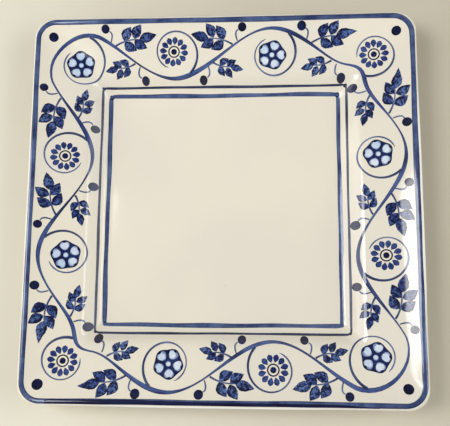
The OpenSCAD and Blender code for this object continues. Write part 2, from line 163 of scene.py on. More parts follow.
def bezier(a: Point, b: Point, c: Point, d: Point, steps: int) -> list[Point]:
    """Samples a cubic curve, without its first point.

    Args:
        a: First point.
        b: Its handle.
        c: Handle of the last point.
        d: Last point.
        steps: Number of points.

    Returns:
        The points after the first.
    """
    points = []
    for step in range(1, steps + 1):
        t = step / steps
        u = 1 - t
        shares = (u * u * u, 3 * u * u * t, 3 * u * t * t, t * t * t)
        points.append(tuple(sum(s * p[k] for s, p in zip(shares, (a, b, c, d))) for k in (0, 1)))
    return points


def hand(index: int, kind: int = Uneven.FREE) -> float:
    """A fixed irregularity of the painter's hand.

    Args:
        index: Number of the motif or of the point.
        kind: Which irregularity is asked for.

    Returns:
        The irregularity, from -1 to 1.
    """
    return math.sin(math.radians(HAND_STEP * index * (1 + kind) + HAND_START * kind))


def drift(at: float, kind: int) -> float:
    """The slow waver of a line that is drawn by hand.

    Args:
        at: Distance along the line, in millimetres.
        kind: Which line.

    Returns:
        The waver, from about -1 to 1.
    """
    return sum(share * math.sin(at / length + start * kind) for length, start, share in WAVERS)


# Modelling by hand


def deselect() -> None:
    """Leaves object mode with nothing selected."""
    if bpy.context.object and bpy.context.object.mode != "OBJECT":
        bpy.ops.object.mode_set(mode="OBJECT")
    bpy.ops.object.select_all(action="DESELECT")


def take(obj: bpy.types.Object) -> None:
    """Selects one object alone and makes it active.

    Args:
        obj: The object.
    """
    deselect()
    obj.select_set(True)
    bpy.context.view_layer.objects.active = obj


def edit(obj: bpy.types.Object) -> None:
    """Opens an object in edit mode, with its whole mesh selected.

    Args:
        obj: The object.
    """
    take(obj)
    bpy.ops.object.mode_set(mode="EDIT")
    bpy.ops.mesh.select_all(action="SELECT")


def disc(points: int, r: float) -> None:
    """Adds a flat disc at the origin and opens it in edit mode, all selected.

    Args:
        points: Points of its outline.
        r: Its radius, in millimetres.
    """
    deselect()
    bpy.ops.mesh.primitive_circle_add(vertices=points, radius=r * MM, fill_type="NGON")
    bpy.ops.object.mode_set(mode="EDIT")
    bpy.ops.mesh.select_all(action="SELECT")


def named(name: str) -> bpy.types.Object:
    """Names the active object and its data.

    Args:
        name: The new name.

    Returns:
        The active object, in object mode.
    """
    if bpy.context.object.mode != "OBJECT":
        bpy.ops.object.mode_set(mode="OBJECT")
    obj = bpy.context.object
    obj.name = name
    obj.data.name = name
    return obj


def pick(chosen: Callable[[Part], bool], kind: Select = Select.VERTS) -> None:
    """Selects parts of the mesh that is in edit mode, and nothing else.

    Args:
        chosen: Says whether a part is wanted.
        kind: Whether vertices or edges are looked through.
    """
    bpy.ops.mesh.select_mode(type=kind.value)
    bpy.ops.mesh.select_all(action="DESELECT")
    mesh = bmesh.from_edit_mesh(bpy.context.object.data)
    parts = {Select.VERTS: mesh.verts, Select.EDGES: mesh.edges}[kind]
    for part in parts:
        if chosen(part):
            part.select_set(True)
    mesh.select_flush_mode()
    bmesh.update_edit_mesh(bpy.context.object.data)


def shift(x: float = 0.0, y: float = 0.0, z: float = 0.0) -> None:
    """Moves what is selected by a distance in millimetres."""
    bpy.ops.transform.translate(value=(x * MM, y * MM, z * MM))


def scale(x: float, y: float) -> None:
    """Scales what is selected in the plan, about the origin."""
    bpy.ops.transform.resize(value=(x, y, 1), center_override=(0, 0, 0))


def inset_rings(sizes: Sequence[float]) -> None:
    """Insets the selected face in rings.

    Args:
        sizes: Sizes of the rings from the outside in, as shares of the face's own size.
    """
    for before, size in zip((1.0, *sizes), sizes):
        bpy.ops.mesh.inset(thickness=INSET_T * MM)
        bpy.ops.transform.resize(value=(size / before, size / before, 1))


def joined(name: str, pieces: Sequence[bpy.types.Object]) -> bpy.types.Object:
    """Joins pieces into one object.

    Args:
        name: Name of the whole.
        pieces: The pieces, all meshes.

    Returns:
        The joined object.
    """
    deselect()
    for piece in pieces:
        piece.select_set(True)
    bpy.context.view_layer.objects.active = pieces[0]
    if len(pieces) > 1:
        bpy.ops.object.join()
    return named(name)


def map_flat(obj: bpy.types.Object, middle: Point, half: Point) -> bpy.types.Object:
    """Writes the UV map of a flat piece from the place of its points, as seen from above.

    Args:
        obj: The piece.
        middle: The point that takes the middle of the map, in millimetres.
        half: Half the length and half the width that the map covers, in millimetres.

    Returns:
        The same piece.
    """
    marks = obj.data.uv_layers.active.data
    for loop in obj.data.loops:
        place = obj.data.vertices[loop.vertex_index].co / MM
        marks[loop.index].uv = [(place[k] - middle[k]) / half[k] / 2 + 0.5 for k in (0, 1)]
    return obj


def copied(master: bpy.types.Object, place: Matrix) -> bpy.types.Object:
    """Copies a piece that was modelled once, with a mesh of its own.

    Args:
        master: The piece.
        place: Where the copy goes.

    Returns:
        The copy, with its place in its mesh.
    """
    copy = master.copy()
    copy.data = master.data.copy()
    copy.data.transform(place)
    bpy.context.scene.collection.objects.link(copy)
    return copy


def thrown_away(*masters: bpy.types.Object) -> None:
    """Deletes masters once their copies are made.

    Args:
        masters: The masters.
    """
    deselect()
    for master in masters:
        master.select_set(True)
    bpy.ops.object.delete()


def repeated(name: str, master: bpy.types.Object, places: Sequence[Matrix]) -> bpy.types.Object:
    """Copies a piece to each of its places, and deletes what it was copied from.

    Args:
        name: Name of the whole.
        master: The piece.
        places: Where the copies go.

    Returns:
        The copies, as one object.
    """
    copies = [copied(master, place) for place in places]
    thrown_away(master)
    return joined(name, copies)


def spot(point: Point, degrees: float = 0.0, size: float = 1.0) -> Matrix:
    """Gives the matrix that puts a flat piece at a point of the plan.

    Args:
        point: The point, in millimetres.
        degrees: The turn.
        size: The scale.

    Returns:
        The matrix.
    """
    place = Matrix.Translation((point[0] * MM, point[1] * MM, 0))
    return place @ Matrix.Rotation(math.radians(degrees), 4, "Z") @ Matrix.Scale(size, 4)


def apply_all(obj: bpy.types.Object) -> None:
    """Applies the modifiers of an object, in their order.

    Args:
        obj: The object.
    """
    take(obj)
    for modifier in list(obj.modifiers):
        bpy.ops.object.modifier_apply(modifier=modifier.name)


def hand_over(obj: bpy.types.Object, node: str, finish: bpy.types.Material) -> None:
    """Dresses a finished piece and lets it stand for its CAD node.

    Args:
        obj: The finished piece.
        node: The CAD node.
        finish: Its material.
    """
    obj.data.materials.clear()
    obj.data.materials.append(finish)
    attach(obj, "root")
    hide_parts(node)
    log.info("%s: %d faces in %s", obj.name, len(obj.data.polygons), finish.name)


# Finishes


def srgb(red: int, green: int, blue: int) -> Colour:
    """Turns an sRGB colour into the linear one that a shader takes.

    Args:
        red: Red, 0 to 255.
        green: Green, 0 to 255.
        blue: Blue, 0 to 255.

    Returns:
        The linear colour, opaque.
    """
    shares = (value / 255 for value in (red, green, blue))
    linear = [s / 12.92 if s <= 0.04045 else ((s + 0.055) / 1.055) ** 2.4 for s in shares]
    return linear[0], linear[1], linear[2], 1.0


@dataclass(frozen=True)
class Grain:
    """Scale of a noise pattern, its number of finer layers and their strength."""

    scale: float
    detail: float = 2.0
    roughness: float = 0.5


@dataclass(frozen=True)
class Relief:
    """The bump that a noise pattern gives to a surface, with its depth in metres."""

    grain: Grain
    strength: float
    depth: float


# Refraction of the glass in a glaze, and the slow waves of its surface
GLAZE_IOR = 1.52
GLAZE_FLOW = Relief(Grain(16.0, 1.0, 0.4), 0.5, 0.0007)


class Recipe:
    """A finish in the making: its nodes are added one after another from the left."""

    def __init__(self, tree: bpy.types.NodeTree) -> None:
        """Starts a finish.

        Args:
            tree: The node tree of the material or of the world.
        """
        self.tree = tree
        self.shader = tree.nodes.get("Principled BSDF")
        self.coordinates = tree.nodes.new("ShaderNodeTexCoord")

    def fill(self, socket: bpy.types.NodeSocket, value: Value) -> None:
        """Sets an input of a node, or links a pattern to it.

        Args:
            socket: The input.
            value: Its value, or the output that it takes.
        """
        if isinstance(value, bpy.types.NodeSocket):
            self.tree.links.new(value, socket)
        else:
            socket.default_value = value

    def put(self, socket: str, value: Value) -> None:
        """Fills one of the shader's own inputs."""
        self.fill(self.shader.inputs[socket], value)

    def add(self, kind: str, inputs: dict[str | int, Value], **settings: object) -> bpy.types.Node:
        """Adds a node.

        Args:
            kind: Its type.
            inputs: A value or a socket for each input that is set, by name or number.
            settings: Its properties.

        Returns:
            The node.
        """
        node = self.tree.nodes.new(kind)
        for name, value in settings.items():
            setattr(node, name, value)
        for name, value in inputs.items():
            self.fill(node.inputs[name], value)
        return node

    @property
    def place(self) -> bpy.types.NodeSocket:
        """The object coordinates."""
        return self.coordinates.outputs["Object"]

    @property
    def flat(self) -> bpy.types.NodeSocket:
        """The piece's own UV map."""
        return self.coordinates.outputs["UV"]

    def axes(self, vector: bpy.types.NodeSocket) -> bpy.types.bpy_prop_collection:
        """Splits coordinates into the outputs x, y and z."""
        return self.add("ShaderNodeSeparateXYZ", {0: vector}).outputs

    def maths(self, operation: str, *values: Value, clamp: bool = False) -> bpy.types.NodeSocket:
        """Works out a number at each point.

        Args:
            operation: What is done.
            values: The numbers or sockets that it is done with.
            clamp: Whether the result is kept between 0 and 1.

        Returns:
            The result.
        """
        inputs = dict(enumerate(values))
        node = self.add("ShaderNodeMath", inputs, operation=operation, use_clamp=clamp)
        return node.outputs[0]

    def noise(self, grain: Grain, vector: bpy.types.NodeSocket | None = None) -> bpy.types.NodeSocket:
        """Adds noise.

        Args:
            grain: Its scale and fineness.
            vector: Its coordinates, the object coordinates where none are given.

        Returns:
            Its value, about 0.5 on average.
        """
        inputs = {
            "Vector": vector or self.place,
            "Scale": grain.scale,
            "Detail": grain.detail,
            "Roughness": grain.roughness,
        }
        return self.add("ShaderNodeTexNoise", inputs).outputs[0]

    def cells(self, scale: float) -> bpy.types.NodeSocket:
        """Adds a pattern of cells, which gives the distance from their middles."""
        inputs = {"Vector": self.place, "Scale": scale}
        return self.add("ShaderNodeTexVoronoi", inputs).outputs["Distance"]

    def fade(self, value: bpy.types.NodeSocket, span: Span) -> bpy.types.NodeSocket:
        """Spreads a value between two limits over 0 to 1, smoothly.

        Args:
            value: The value.
            span: The limits that give 0 and 1.

        Returns:
            The spread value.
        """
        inputs = {"Value": value, "From Min": span[0], "From Max": span[1]}
        node = self.add("ShaderNodeMapRange", inputs, interpolation_type="SMOOTHSTEP")
        return node.outputs[0]

    def blend(self, share: Value, first: Value, second: Value) -> bpy.types.NodeSocket:
        """Mixes two colours.

        Args:
            share: How much of the second.
            first: A colour or a socket.
            second: A colour or a socket.

        Returns:
            The mixed colour.
        """
        inputs = {0: share, 6: first, 7: second}
        return self.add("ShaderNodeMix", inputs, data_type="RGBA").outputs[2]

    def seen(self) -> bpy.types.NodeSocket:
        """Tells the rays that show a thing, straight or in a mirror, from those that light others.

        Returns:
            1 for the rays that show it, 0 for the others.
        """
        ray = self.add("ShaderNodeLightPath", {}).outputs
        shown = self.maths("MAXIMUM", ray["Is Camera Ray"], ray["Is Glossy Ray"])
        return self.maths("MAXIMUM", shown, ray["Is Transmission Ray"])

    def bump(self, relief: Relief) -> None:
        """Adds a bump to the shader, on top of one that it may have.

        Args:
            relief: The bump.
        """
        height = self.noise(relief.grain)
        inputs = {"Height": height, "Strength": relief.strength, "Distance": relief.depth}
        normal = self.shader.inputs["Normal"]
        if normal.is_linked:
            inputs["Normal"] = normal.links[0].from_socket
        self.put("Normal", self.add("ShaderNodeBump", inputs).outputs[0])


@dataclass(frozen=True)
class Finish:
    """What every finish does: it starts a material and mixes itself into it."""

    def brew(self, mix: Recipe) -> None:
        """Mixes the finish."""
        raise NotImplementedError

    def material(self, name: str) -> bpy.types.Material:
        """Makes a material of the finish.

        Args:
            name: Name of the material.

        Returns:
            The material.
        """
        material = bpy.data.materials.new(name)
        material.use_nodes = True
        self.brew(Recipe(material.node_tree))
        return material


@dataclass(frozen=True)
class WhiteGlaze(Finish):
    """Glossy cream-white glaze, a little uneven in tone and in thickness, with a painted highlight that
    whitens the edge.
    """

    warm: Colour = srgb(236, 228, 208)
    cool: Colour = srgb(230, 223, 208)
    # Painted highlight: a whiter colour drawn along the plate's outer edge
    edge_highlight: Colour = srgb(252, 250, 244)
    speck: Colour = srgb(186, 170, 140)
    gloss: float = 0.07
    wear: float = 0.05
    edge_highlight_span: Span = (0.1338, 0.1348)
    cloud_grain: Grain = Grain(9.0, 3.0, 0.55)
    cloud_span: Span = (0.35, 0.65)
    speck_scale: float = 95.0
    speck_span: Span = (0.045, 0.02)
    rare_grain: Grain = Grain(60.0, 0.0)
    rare_span: Span = (0.6, 0.66)
    wear_grain: Grain = Grain(38.0, 4.0, 0.6)
    wear_span: Span = (0.3, 0.8)
    pits: Relief = Relief(Grain(420.0), 0.12, 0.00006)

    def brew(self, mix: Recipe) -> None:
        """Mixes the glaze.

        Args:
            mix: The material in the making.
        """
        cloud = mix.fade(mix.noise(self.cloud_grain), self.cloud_span)
        tone = mix.blend(cloud, self.warm, self.cool)
        speck = mix.fade(mix.cells(self.speck_scale), self.speck_span)
        rare = mix.fade(mix.noise(self.rare_grain), self.rare_span)
        tone = mix.blend(mix.maths("MULTIPLY", speck, rare), tone, self.speck)
        # Painted highlight: points near the plate's outer edge take the whiter colour
        axes = mix.axes(mix.place)
        reach = mix.maths("MAXIMUM", mix.maths("ABSOLUTE", axes[0]), mix.maths("ABSOLUTE", axes[1]))
        mix.put("Base Color", mix.blend(mix.fade(reach, self.edge_highlight_span), tone, self.edge_highlight))
        wear = mix.fade(mix.noise(self.wear_grain), self.wear_span)
        mix.put("Roughness", mix.maths("MULTIPLY_ADD", wear, self.wear, self.gloss))
        mix.put("IOR", GLAZE_IOR)
        mix.bump(GLAZE_FLOW)
        mix.bump(self.pits)


@dataclass(frozen=True)
class BareClay(Finish):
    """Fired clay without glaze, as the foot ring shows it."""

    body: Colour = srgb(214, 192, 160)
    dark: Colour = srgb(178, 150, 116)
    dull: float = 0.88
    cloud: float = 0.5
    cloud_grain: Grain = Grain(55.0, 5.0, 0.65)
    cloud_span: Span = (0.35, 0.75)
    grog: float = 0.6
    grog_grain: Grain = Grain(900.0)
    grog_span: Span = (0.58, 0.72)
    tooth: Relief = Relief(Grain(1400.0, 4.0, 0.7), 0.6, 0.00012)

    def brew(self, mix: Recipe) -> None:
        """Mixes the clay.

        Args:
            mix: The material in the making.
        """
        cloud = mix.fade(mix.noise(self.cloud_grain), self.cloud_span)
        grog = mix.fade(mix.noise(self.grog_grain), self.grog_span)
        tone = mix.blend(mix.maths("MULTIPLY", cloud, self.cloud), self.body, self.dark)
        mix.put("Base Color", mix.blend(mix.maths("MULTIPLY", grog, self.grog), tone, self.dark))
        mix.put("Roughness", self.dull)
        mix.bump(self.tooth)


@dataclass(frozen=True)
class BrushBlue(Finish):
    """Blue colour under the glaze, thin in the middle of a mark and gathered along its outline."""

    thin: Colour
    body: Colour
    deep: Colour
    outline: Outline = Outline.STROKE
    pool: float = 0.7
    streaks: float = 0.6
    sponge: float = 0.0
    load: float = 0.0
    accent: float = 0.0
    gloss: float = 0.08
    wash_grain: Grain = Grain(70.0, 3.0, 0.55)
    wash_span: Span = (0.32, 0.68)
    load_span: Span = (0.55, 0.0)
    accent_grain: Grain = Grain(24.0, 2.0, 0.6)
    accent_span: Span = (0.5, 0.66)
    bristle_along: float = 60.0
    bristle_across: float = 5.0
    streak_grain: Grain = Grain(1.0, 2.0, 0.6)
    streak_span: Span = (0.42, 0.72)
    pore_scale: float = 700.0
    pore_span: Span = (0.4, 0.75)
    blotch_grain: Grain = Grain(420.0, 4.0, 0.7)
    blotch_span: Span = (0.46, 0.58)
    lean: float = 1.6
    lean_grain: Grain = Grain(24.0, 1.0)
    ragged: float = 0.5
    ragged_grain: Grain = Grain(650.0, 2.0, 0.6)
    pool_span: Span = (0.62, 1.0)
    tip_power: float = 3.0

    def rim(self, mix: Recipe) -> bpy.types.NodeSocket:
        """Works out how near a point is to the outline of its mark.

        Args:
            mix: The material in the making.

        Returns:
            0 in the middle, 1 on the outline.
        """
        axes = mix.axes(mix.flat)
        u = mix.maths("ABSOLUTE", mix.maths("MULTIPLY_ADD", axes[0], 2.0, -1.0))
        leaning = mix.maths("MULTIPLY_ADD", mix.noise(self.lean_grain), self.lean, -1 - self.lean / 2)
        v = mix.maths("ABSOLUTE", mix.maths("MULTIPLY_ADD", axes[1], 2.0, leaning))
        if self.outline is Outline.STROKE:
            return v
        if self.outline is Outline.LEAF:
            return mix.maths("MAXIMUM", v, mix.maths("POWER", u, self.tip_power))
        squares = mix.maths("ADD", mix.maths("POWER", u, 2.0), mix.maths("POWER", v, 2.0))
        return mix.maths("SQRT", squares)

    def bristles(self, mix: Recipe) -> bpy.types.NodeSocket:
        """Works out the streaks that the bristles leave along a mark.

        Args:
            mix: The material in the making.

        Returns:
            0 between the streaks, 1 in them.
        """
        across = mix.axes(mix.flat)[1]
        place = mix.axes(mix.place)
        inputs = {
            0: mix.maths("MULTIPLY", place[0], self.bristle_along),
            1: mix.maths("MULTIPLY", place[1], self.bristle_along),
            2: mix.maths("MULTIPLY", across, self.bristle_across),
        }
        combed = mix.add("ShaderNodeCombineXYZ", inputs).outputs[0]
        return mix.fade(mix.noise(self.streak_grain, combed), self.streak_span)

    def brew(self, mix: Recipe) -> None:
        """Mixes the colour.

        Args:
            mix: The material in the making.
        """
        wash = mix.fade(mix.noise(self.wash_grain), self.wash_span)
        tone = mix.blend(wash, self.thin, self.body)
        if self.load > 0:
            loaded = mix.fade(mix.axes(mix.flat)[0], self.load_span)
            tone = mix.blend(mix.maths("MULTIPLY", loaded, self.load), tone, self.deep)
        if self.accent > 0:
            accent = mix.fade(mix.noise(self.accent_grain), self.accent_span)
            tone = mix.blend(mix.maths("MULTIPLY", accent, self.accent), tone, self.deep)
        if self.streaks > 0:
            streak = self.bristles(mix)
            tone = mix.blend(mix.maths("MULTIPLY", streak, self.streaks), tone, self.thin)
        if self.sponge > 0:
            pores = mix.fade(mix.cells(self.pore_scale), self.pore_span)
            blotch = mix.fade(mix.noise(self.blotch_grain), self.blotch_span)
            mottle = mix.maths("MULTIPLY", mix.maths("MAXIMUM", pores, blotch), self.sponge)
            tone = mix.blend(mottle, tone, self.deep)
        ragged = mix.maths("MULTIPLY_ADD", mix.noise(self.ragged_grain), self.ragged, -self.ragged / 2)
        near = mix.maths("ADD", self.rim(mix), ragged)
        gathered = mix.maths("MULTIPLY", mix.fade(near, self.pool_span), self.pool)
        mix.put("Base Color", mix.blend(gathered, tone, self.deep))
        mix.put("Roughness", self.gloss)
        mix.put("IOR", GLAZE_IOR)
        mix.bump(GLAZE_FLOW)


@dataclass(frozen=True)
class PlainFloor(Finish):
    """A plain pale table top, with painted shade that makes it a little darker towards the right and the
    back, that pales far from the plate.
    """

    body: Colour = srgb(230, 226, 208)
    # Painted shade: the colour the table darkens to towards the right and the back
    shade: Colour = srgb(198, 190, 170)
    shade_slope: Point = (2.3, 0.7)
    middle: float = 0.48
    cloud: float = 0.3
    cloud_grain: Grain = Grain(9.0)
    far: Colour = srgb(216, 212, 200)
    haze_span: Span = (0.3, 1.8)
    dull: float = 0.9
    shine: float = 0.1

    def brew(self, mix: Recipe) -> None:
        """Mixes the table's paint.

        Args:
            mix: The material in the making.
        """
        axes = mix.axes(mix.place)
        # Painted shade: the table's colour darkens towards the right and the back, in place of the lamps'
        # falloff there
        shade_ramp = mix.maths("MULTIPLY_ADD", axes[0], self.shade_slope[0], self.middle)
        shade_ramp = mix.maths("MULTIPLY_ADD", axes[1], self.shade_slope[1], shade_ramp)
        cloud = mix.maths("MULTIPLY_ADD", mix.noise(self.cloud_grain), self.cloud, -self.cloud / 2)
        painted_shade_share = mix.maths("ADD", shade_ramp, cloud, clamp=True)
        mix.put("Base Color", mix.blend(painted_shade_share, self.body, self.shade))
        away = mix.add("ShaderNodeVectorMath", {0: mix.place}, operation="LENGTH").outputs["Value"]
        haze = mix.maths("MULTIPLY", mix.fade(away, self.haze_span), mix.seen())
        mix.put("Emission Color", self.far)
        mix.put("Emission Strength", haze)
        mix.put("Roughness", self.dull)
        mix.put("Specular IOR Level", self.shine)


# The plate's form


@dataclass(frozen=True)
class PlateForm:
    """Sizes of the fired plate in millimetres, and the profiles that they give.

    A point of a profile is its distance from the middle of the plate, and its height.
    """

    width: float = 270.0
    height: float = 29.0
    edge_corner_r: float = 13.0
    clay_t: float = 4.6
    rim_low_angle: float = 13.0
    rim_high_angle: float = 25.0
    well_w: float = 160.0
    well_corner_r: float = 5.0
    wall_w: float = 18.0
    wall_rise: float = 11.5
    floor_t: float = 4.6
    foot_w: float = 164.0
    foot_ring_w: float = 5.5
    foot_h: float = 2.6
    foot_round: float = 0.8
    glaze_line_h: float = 1.2
    glaze_t: float = 0.4
    wall_foot_pull: float = 0.5
    wall_top_pull: float = 0.42
    rim_pull: float = 0.4
    curve_steps: int = 18
    edge_steps: int = 14
    round_steps: int = 4
    under_stride: int = 2

    @property
    def edge_half(self) -> float:
        """Half the width of the clay."""
        return self.width / 2 - self.glaze_t

    @property
    def well_half(self) -> float:
        """Half the width of the well's floor."""
        return self.well_w / 2

    @property
    def foot_half(self) -> float:
        """Half the outer width of the foot ring."""
        return self.foot_w / 2

    def corner_r(self, half: float) -> float:
        """Corner radius, seen from above, of the ring at a distance from the middle."""
        gain = (self.edge_corner_r - self.well_corner_r) / (self.edge_half - self.well_half)
        return self.well_corner_r + gain * (half - self.well_half)

    def edge_point(self, degrees: float) -> Point:
        """Gives a point on the round of the clay's edge."""
        r = self.clay_t / 2
        return moved((self.edge_half - r, self.height - self.glaze_t - r), heading(degrees), r)

    def clay_face(self) -> list[Point]:
        """Works out the profile of the clay's upper face.

        Returns:
            Its points, from the floor of the well to the edge.
        """
        floor_z = self.foot_h + self.floor_t
        start = (self.well_half, floor_z)
        top = (self.well_half + self.wall_w, floor_z + self.wall_rise)
        end = self.edge_point(90 + self.rim_high_angle)
        low, high = heading(self.rim_low_angle), heading(self.rim_high_angle)
        reach = self.rim_pull * math.dist(top, end)
        wall = bezier(
            start,
            moved(start, (self.wall_w, 0), self.wall_foot_pull),
            moved(top, low, -self.wall_top_pull * self.wall_w),
            top,
            self.curve_steps,
        )
        rim = bezier(top, moved(top, low, reach), moved(end, high, -reach), end, self.curve_steps)
        return [start, *wall, *rim]

    def clay_edge(self) -> list[Point]:
        """Works out the profile of the rounded edge.

        Returns:
            Its points, from the face to the underside.
        """
        start = 90 + self.rim_high_angle
        steps = range(1, self.edge_steps + 1)
        return [self.edge_point(start - 180 * step / self.edge_steps) for step in steps]

    @staticmethod
    def beside(curve: Sequence[Point], index: int, distance: float) -> Point:
        """Moves one point of a curve square to the curve.

        Args:
            curve: The curve.
            index: Which point.
            distance: How far out of the clay, or into it where it is below 0.

        Returns:
            The moved point.
        """
        before = curve[max(index - 1, 0)]
        after = curve[min(index + 1, len(curve) - 1)]
        length = math.dist(before, after)
        along = ((after[0] - before[0]) / length, (after[1] - before[1]) / length)
        if index == 0:
            along = (1.0, 0.0)
        return moved(curve[index], (-along[1], along[0]), distance)

    def clay_under(self) -> list[Point]:
        """Works out the profile of the underside.

        Returns:
            Its points, from the edge in to the foot ring.
        """
        face = self.clay_face()
        places = range(len(face) - 2, 0, -self.under_stride)
        points = [self.beside(face, index, -self.clay_t) for index in places]
        return [point for point in points if point[0] > self.foot_half + self.foot_round]

    def glazed_side(self) -> list[Point]:
        """Works out the profile of the clay under the upper glaze.

        Returns:
            Its points, from the floor of the well to the glaze line on the foot.
        """
        foot = self.foot_half
        ends = [(foot, self.glaze_line_h + self.glaze_t), (foot, self.glaze_line_h)]
        return self.clay_face() + self.clay_edge() + self.clay_under() + ends

    def glaze_skin(self) -> list[Point]:
        """Profile of the outer surface of the upper glaze."""
        side = self.glazed_side()
        return [self.beside(side, index, self.glaze_t) for index in range(len(side))]

    def rounding(self, centre: Point, r: float, start: float, end: float) -> list[Point]:
        """Profile of a quarter round.

        Args:
            centre: Its centre.
            r: Its radius.
            start: Angle of its first point.
            end: Angle of its last point.

        Returns:
            Its points.
        """
        shares = [step / self.round_steps for step in range(self.round_steps + 1)]
        return [moved(centre, heading(start + (end - start) * share), r) for share in shares]

    def foot_ring(self) -> list[Point]:
        """Works out the profile of the bare foot ring.

        Returns:
            Its points, from its outer side in to the clay base.
        """
        out, inside, r = self.foot_half, self.foot_half - self.foot_ring_w, self.foot_round
        outer = self.rounding((out - r, r), r, 0, -90)
        inner = self.rounding((inside + r, r), r, -90, -180)
        fillet = self.rounding((inside - r, self.foot_h - r), r, 0, 90)
        return outer + inner + fillet

    def base_skin(self) -> list[Point]:
        """Works out the profile of the lower surface of the glaze inside the foot ring.

        Returns:
            Its points, from the ring's inner side to the base.
        """
        inside, r, t = self.foot_half - self.foot_ring_w, self.foot_round, self.glaze_t
        skin = self.rounding((inside - r, self.foot_h - r), r - t, 0, 90)
        return [(inside - t, self.glaze_line_h), *skin]


@dataclass(frozen=True)
class Kiln:
    """The small warp that firing gives a square plate, in millimetres, uneven by some shares."""

    bow: float = 0.5
    corner_lift: float = 0.35
    side_sag: float = 0.45
    bow_uneven: float = 0.5
    sag_uneven: float = 0.5
    lift_uneven: float = 0.6
    reach: float = 46.0
    patch: Point = (45.0, 12.0)

    def pull(self, chosen: Callable[[float, float], bool], by: Triple) -> None:
        """Moves a stretch of the edge, and less and less of the plate round it.

        Args:
            chosen: Says which points of the plan belong to the stretch.
            by: How far it moves.
        """
        pick(lambda v: chosen(v.co.x / MM, v.co.y / MM))
        bpy.ops.transform.translate(
            value=Vector(by) * MM,
            use_proportional_edit=True,
            proportional_edit_falloff="SMOOTH",
            proportional_size=self.reach * MM,
            use_proportional_connected=False,
        )

    def fire(self, obj: bpy.types.Object, half: float) -> None:
        """Warps a body of the plate.

        Args:
            obj: The clay or a glaze.
            half: Half the plate's width.
        """
        edit(obj)
        long, wide = self.patch
        for quarter in range(4):
            side = heading(90 * quarter)
            out = self.bow * (1 + self.bow_uneven * hand(quarter, Uneven.BOW))
            sag = -self.side_sag * (1 + self.sag_uneven * hand(quarter, Uneven.SAG))
            lift = self.corner_lift * (1 + self.lift_uneven * hand(quarter, Uneven.LIFT))

            def on_side(x: float, y: float) -> bool:
                """Whether a point lies on the middle of this side's edge."""
                u, v = turned((x, y), -90 * quarter)
                return u > half - wide and abs(v) < long

            def on_corner(x: float, y: float) -> bool:
                """Whether a point lies on this side's left corner."""
                u, v = turned((x, y), -90 * quarter)
                return min(u, v) > half - 2 * wide

            self.pull(on_side, (out * side[0], out * side[1], sag))
            self.pull(on_corner, (0, 0, lift))
        bpy.ops.object.mode_set(mode="OBJECT")


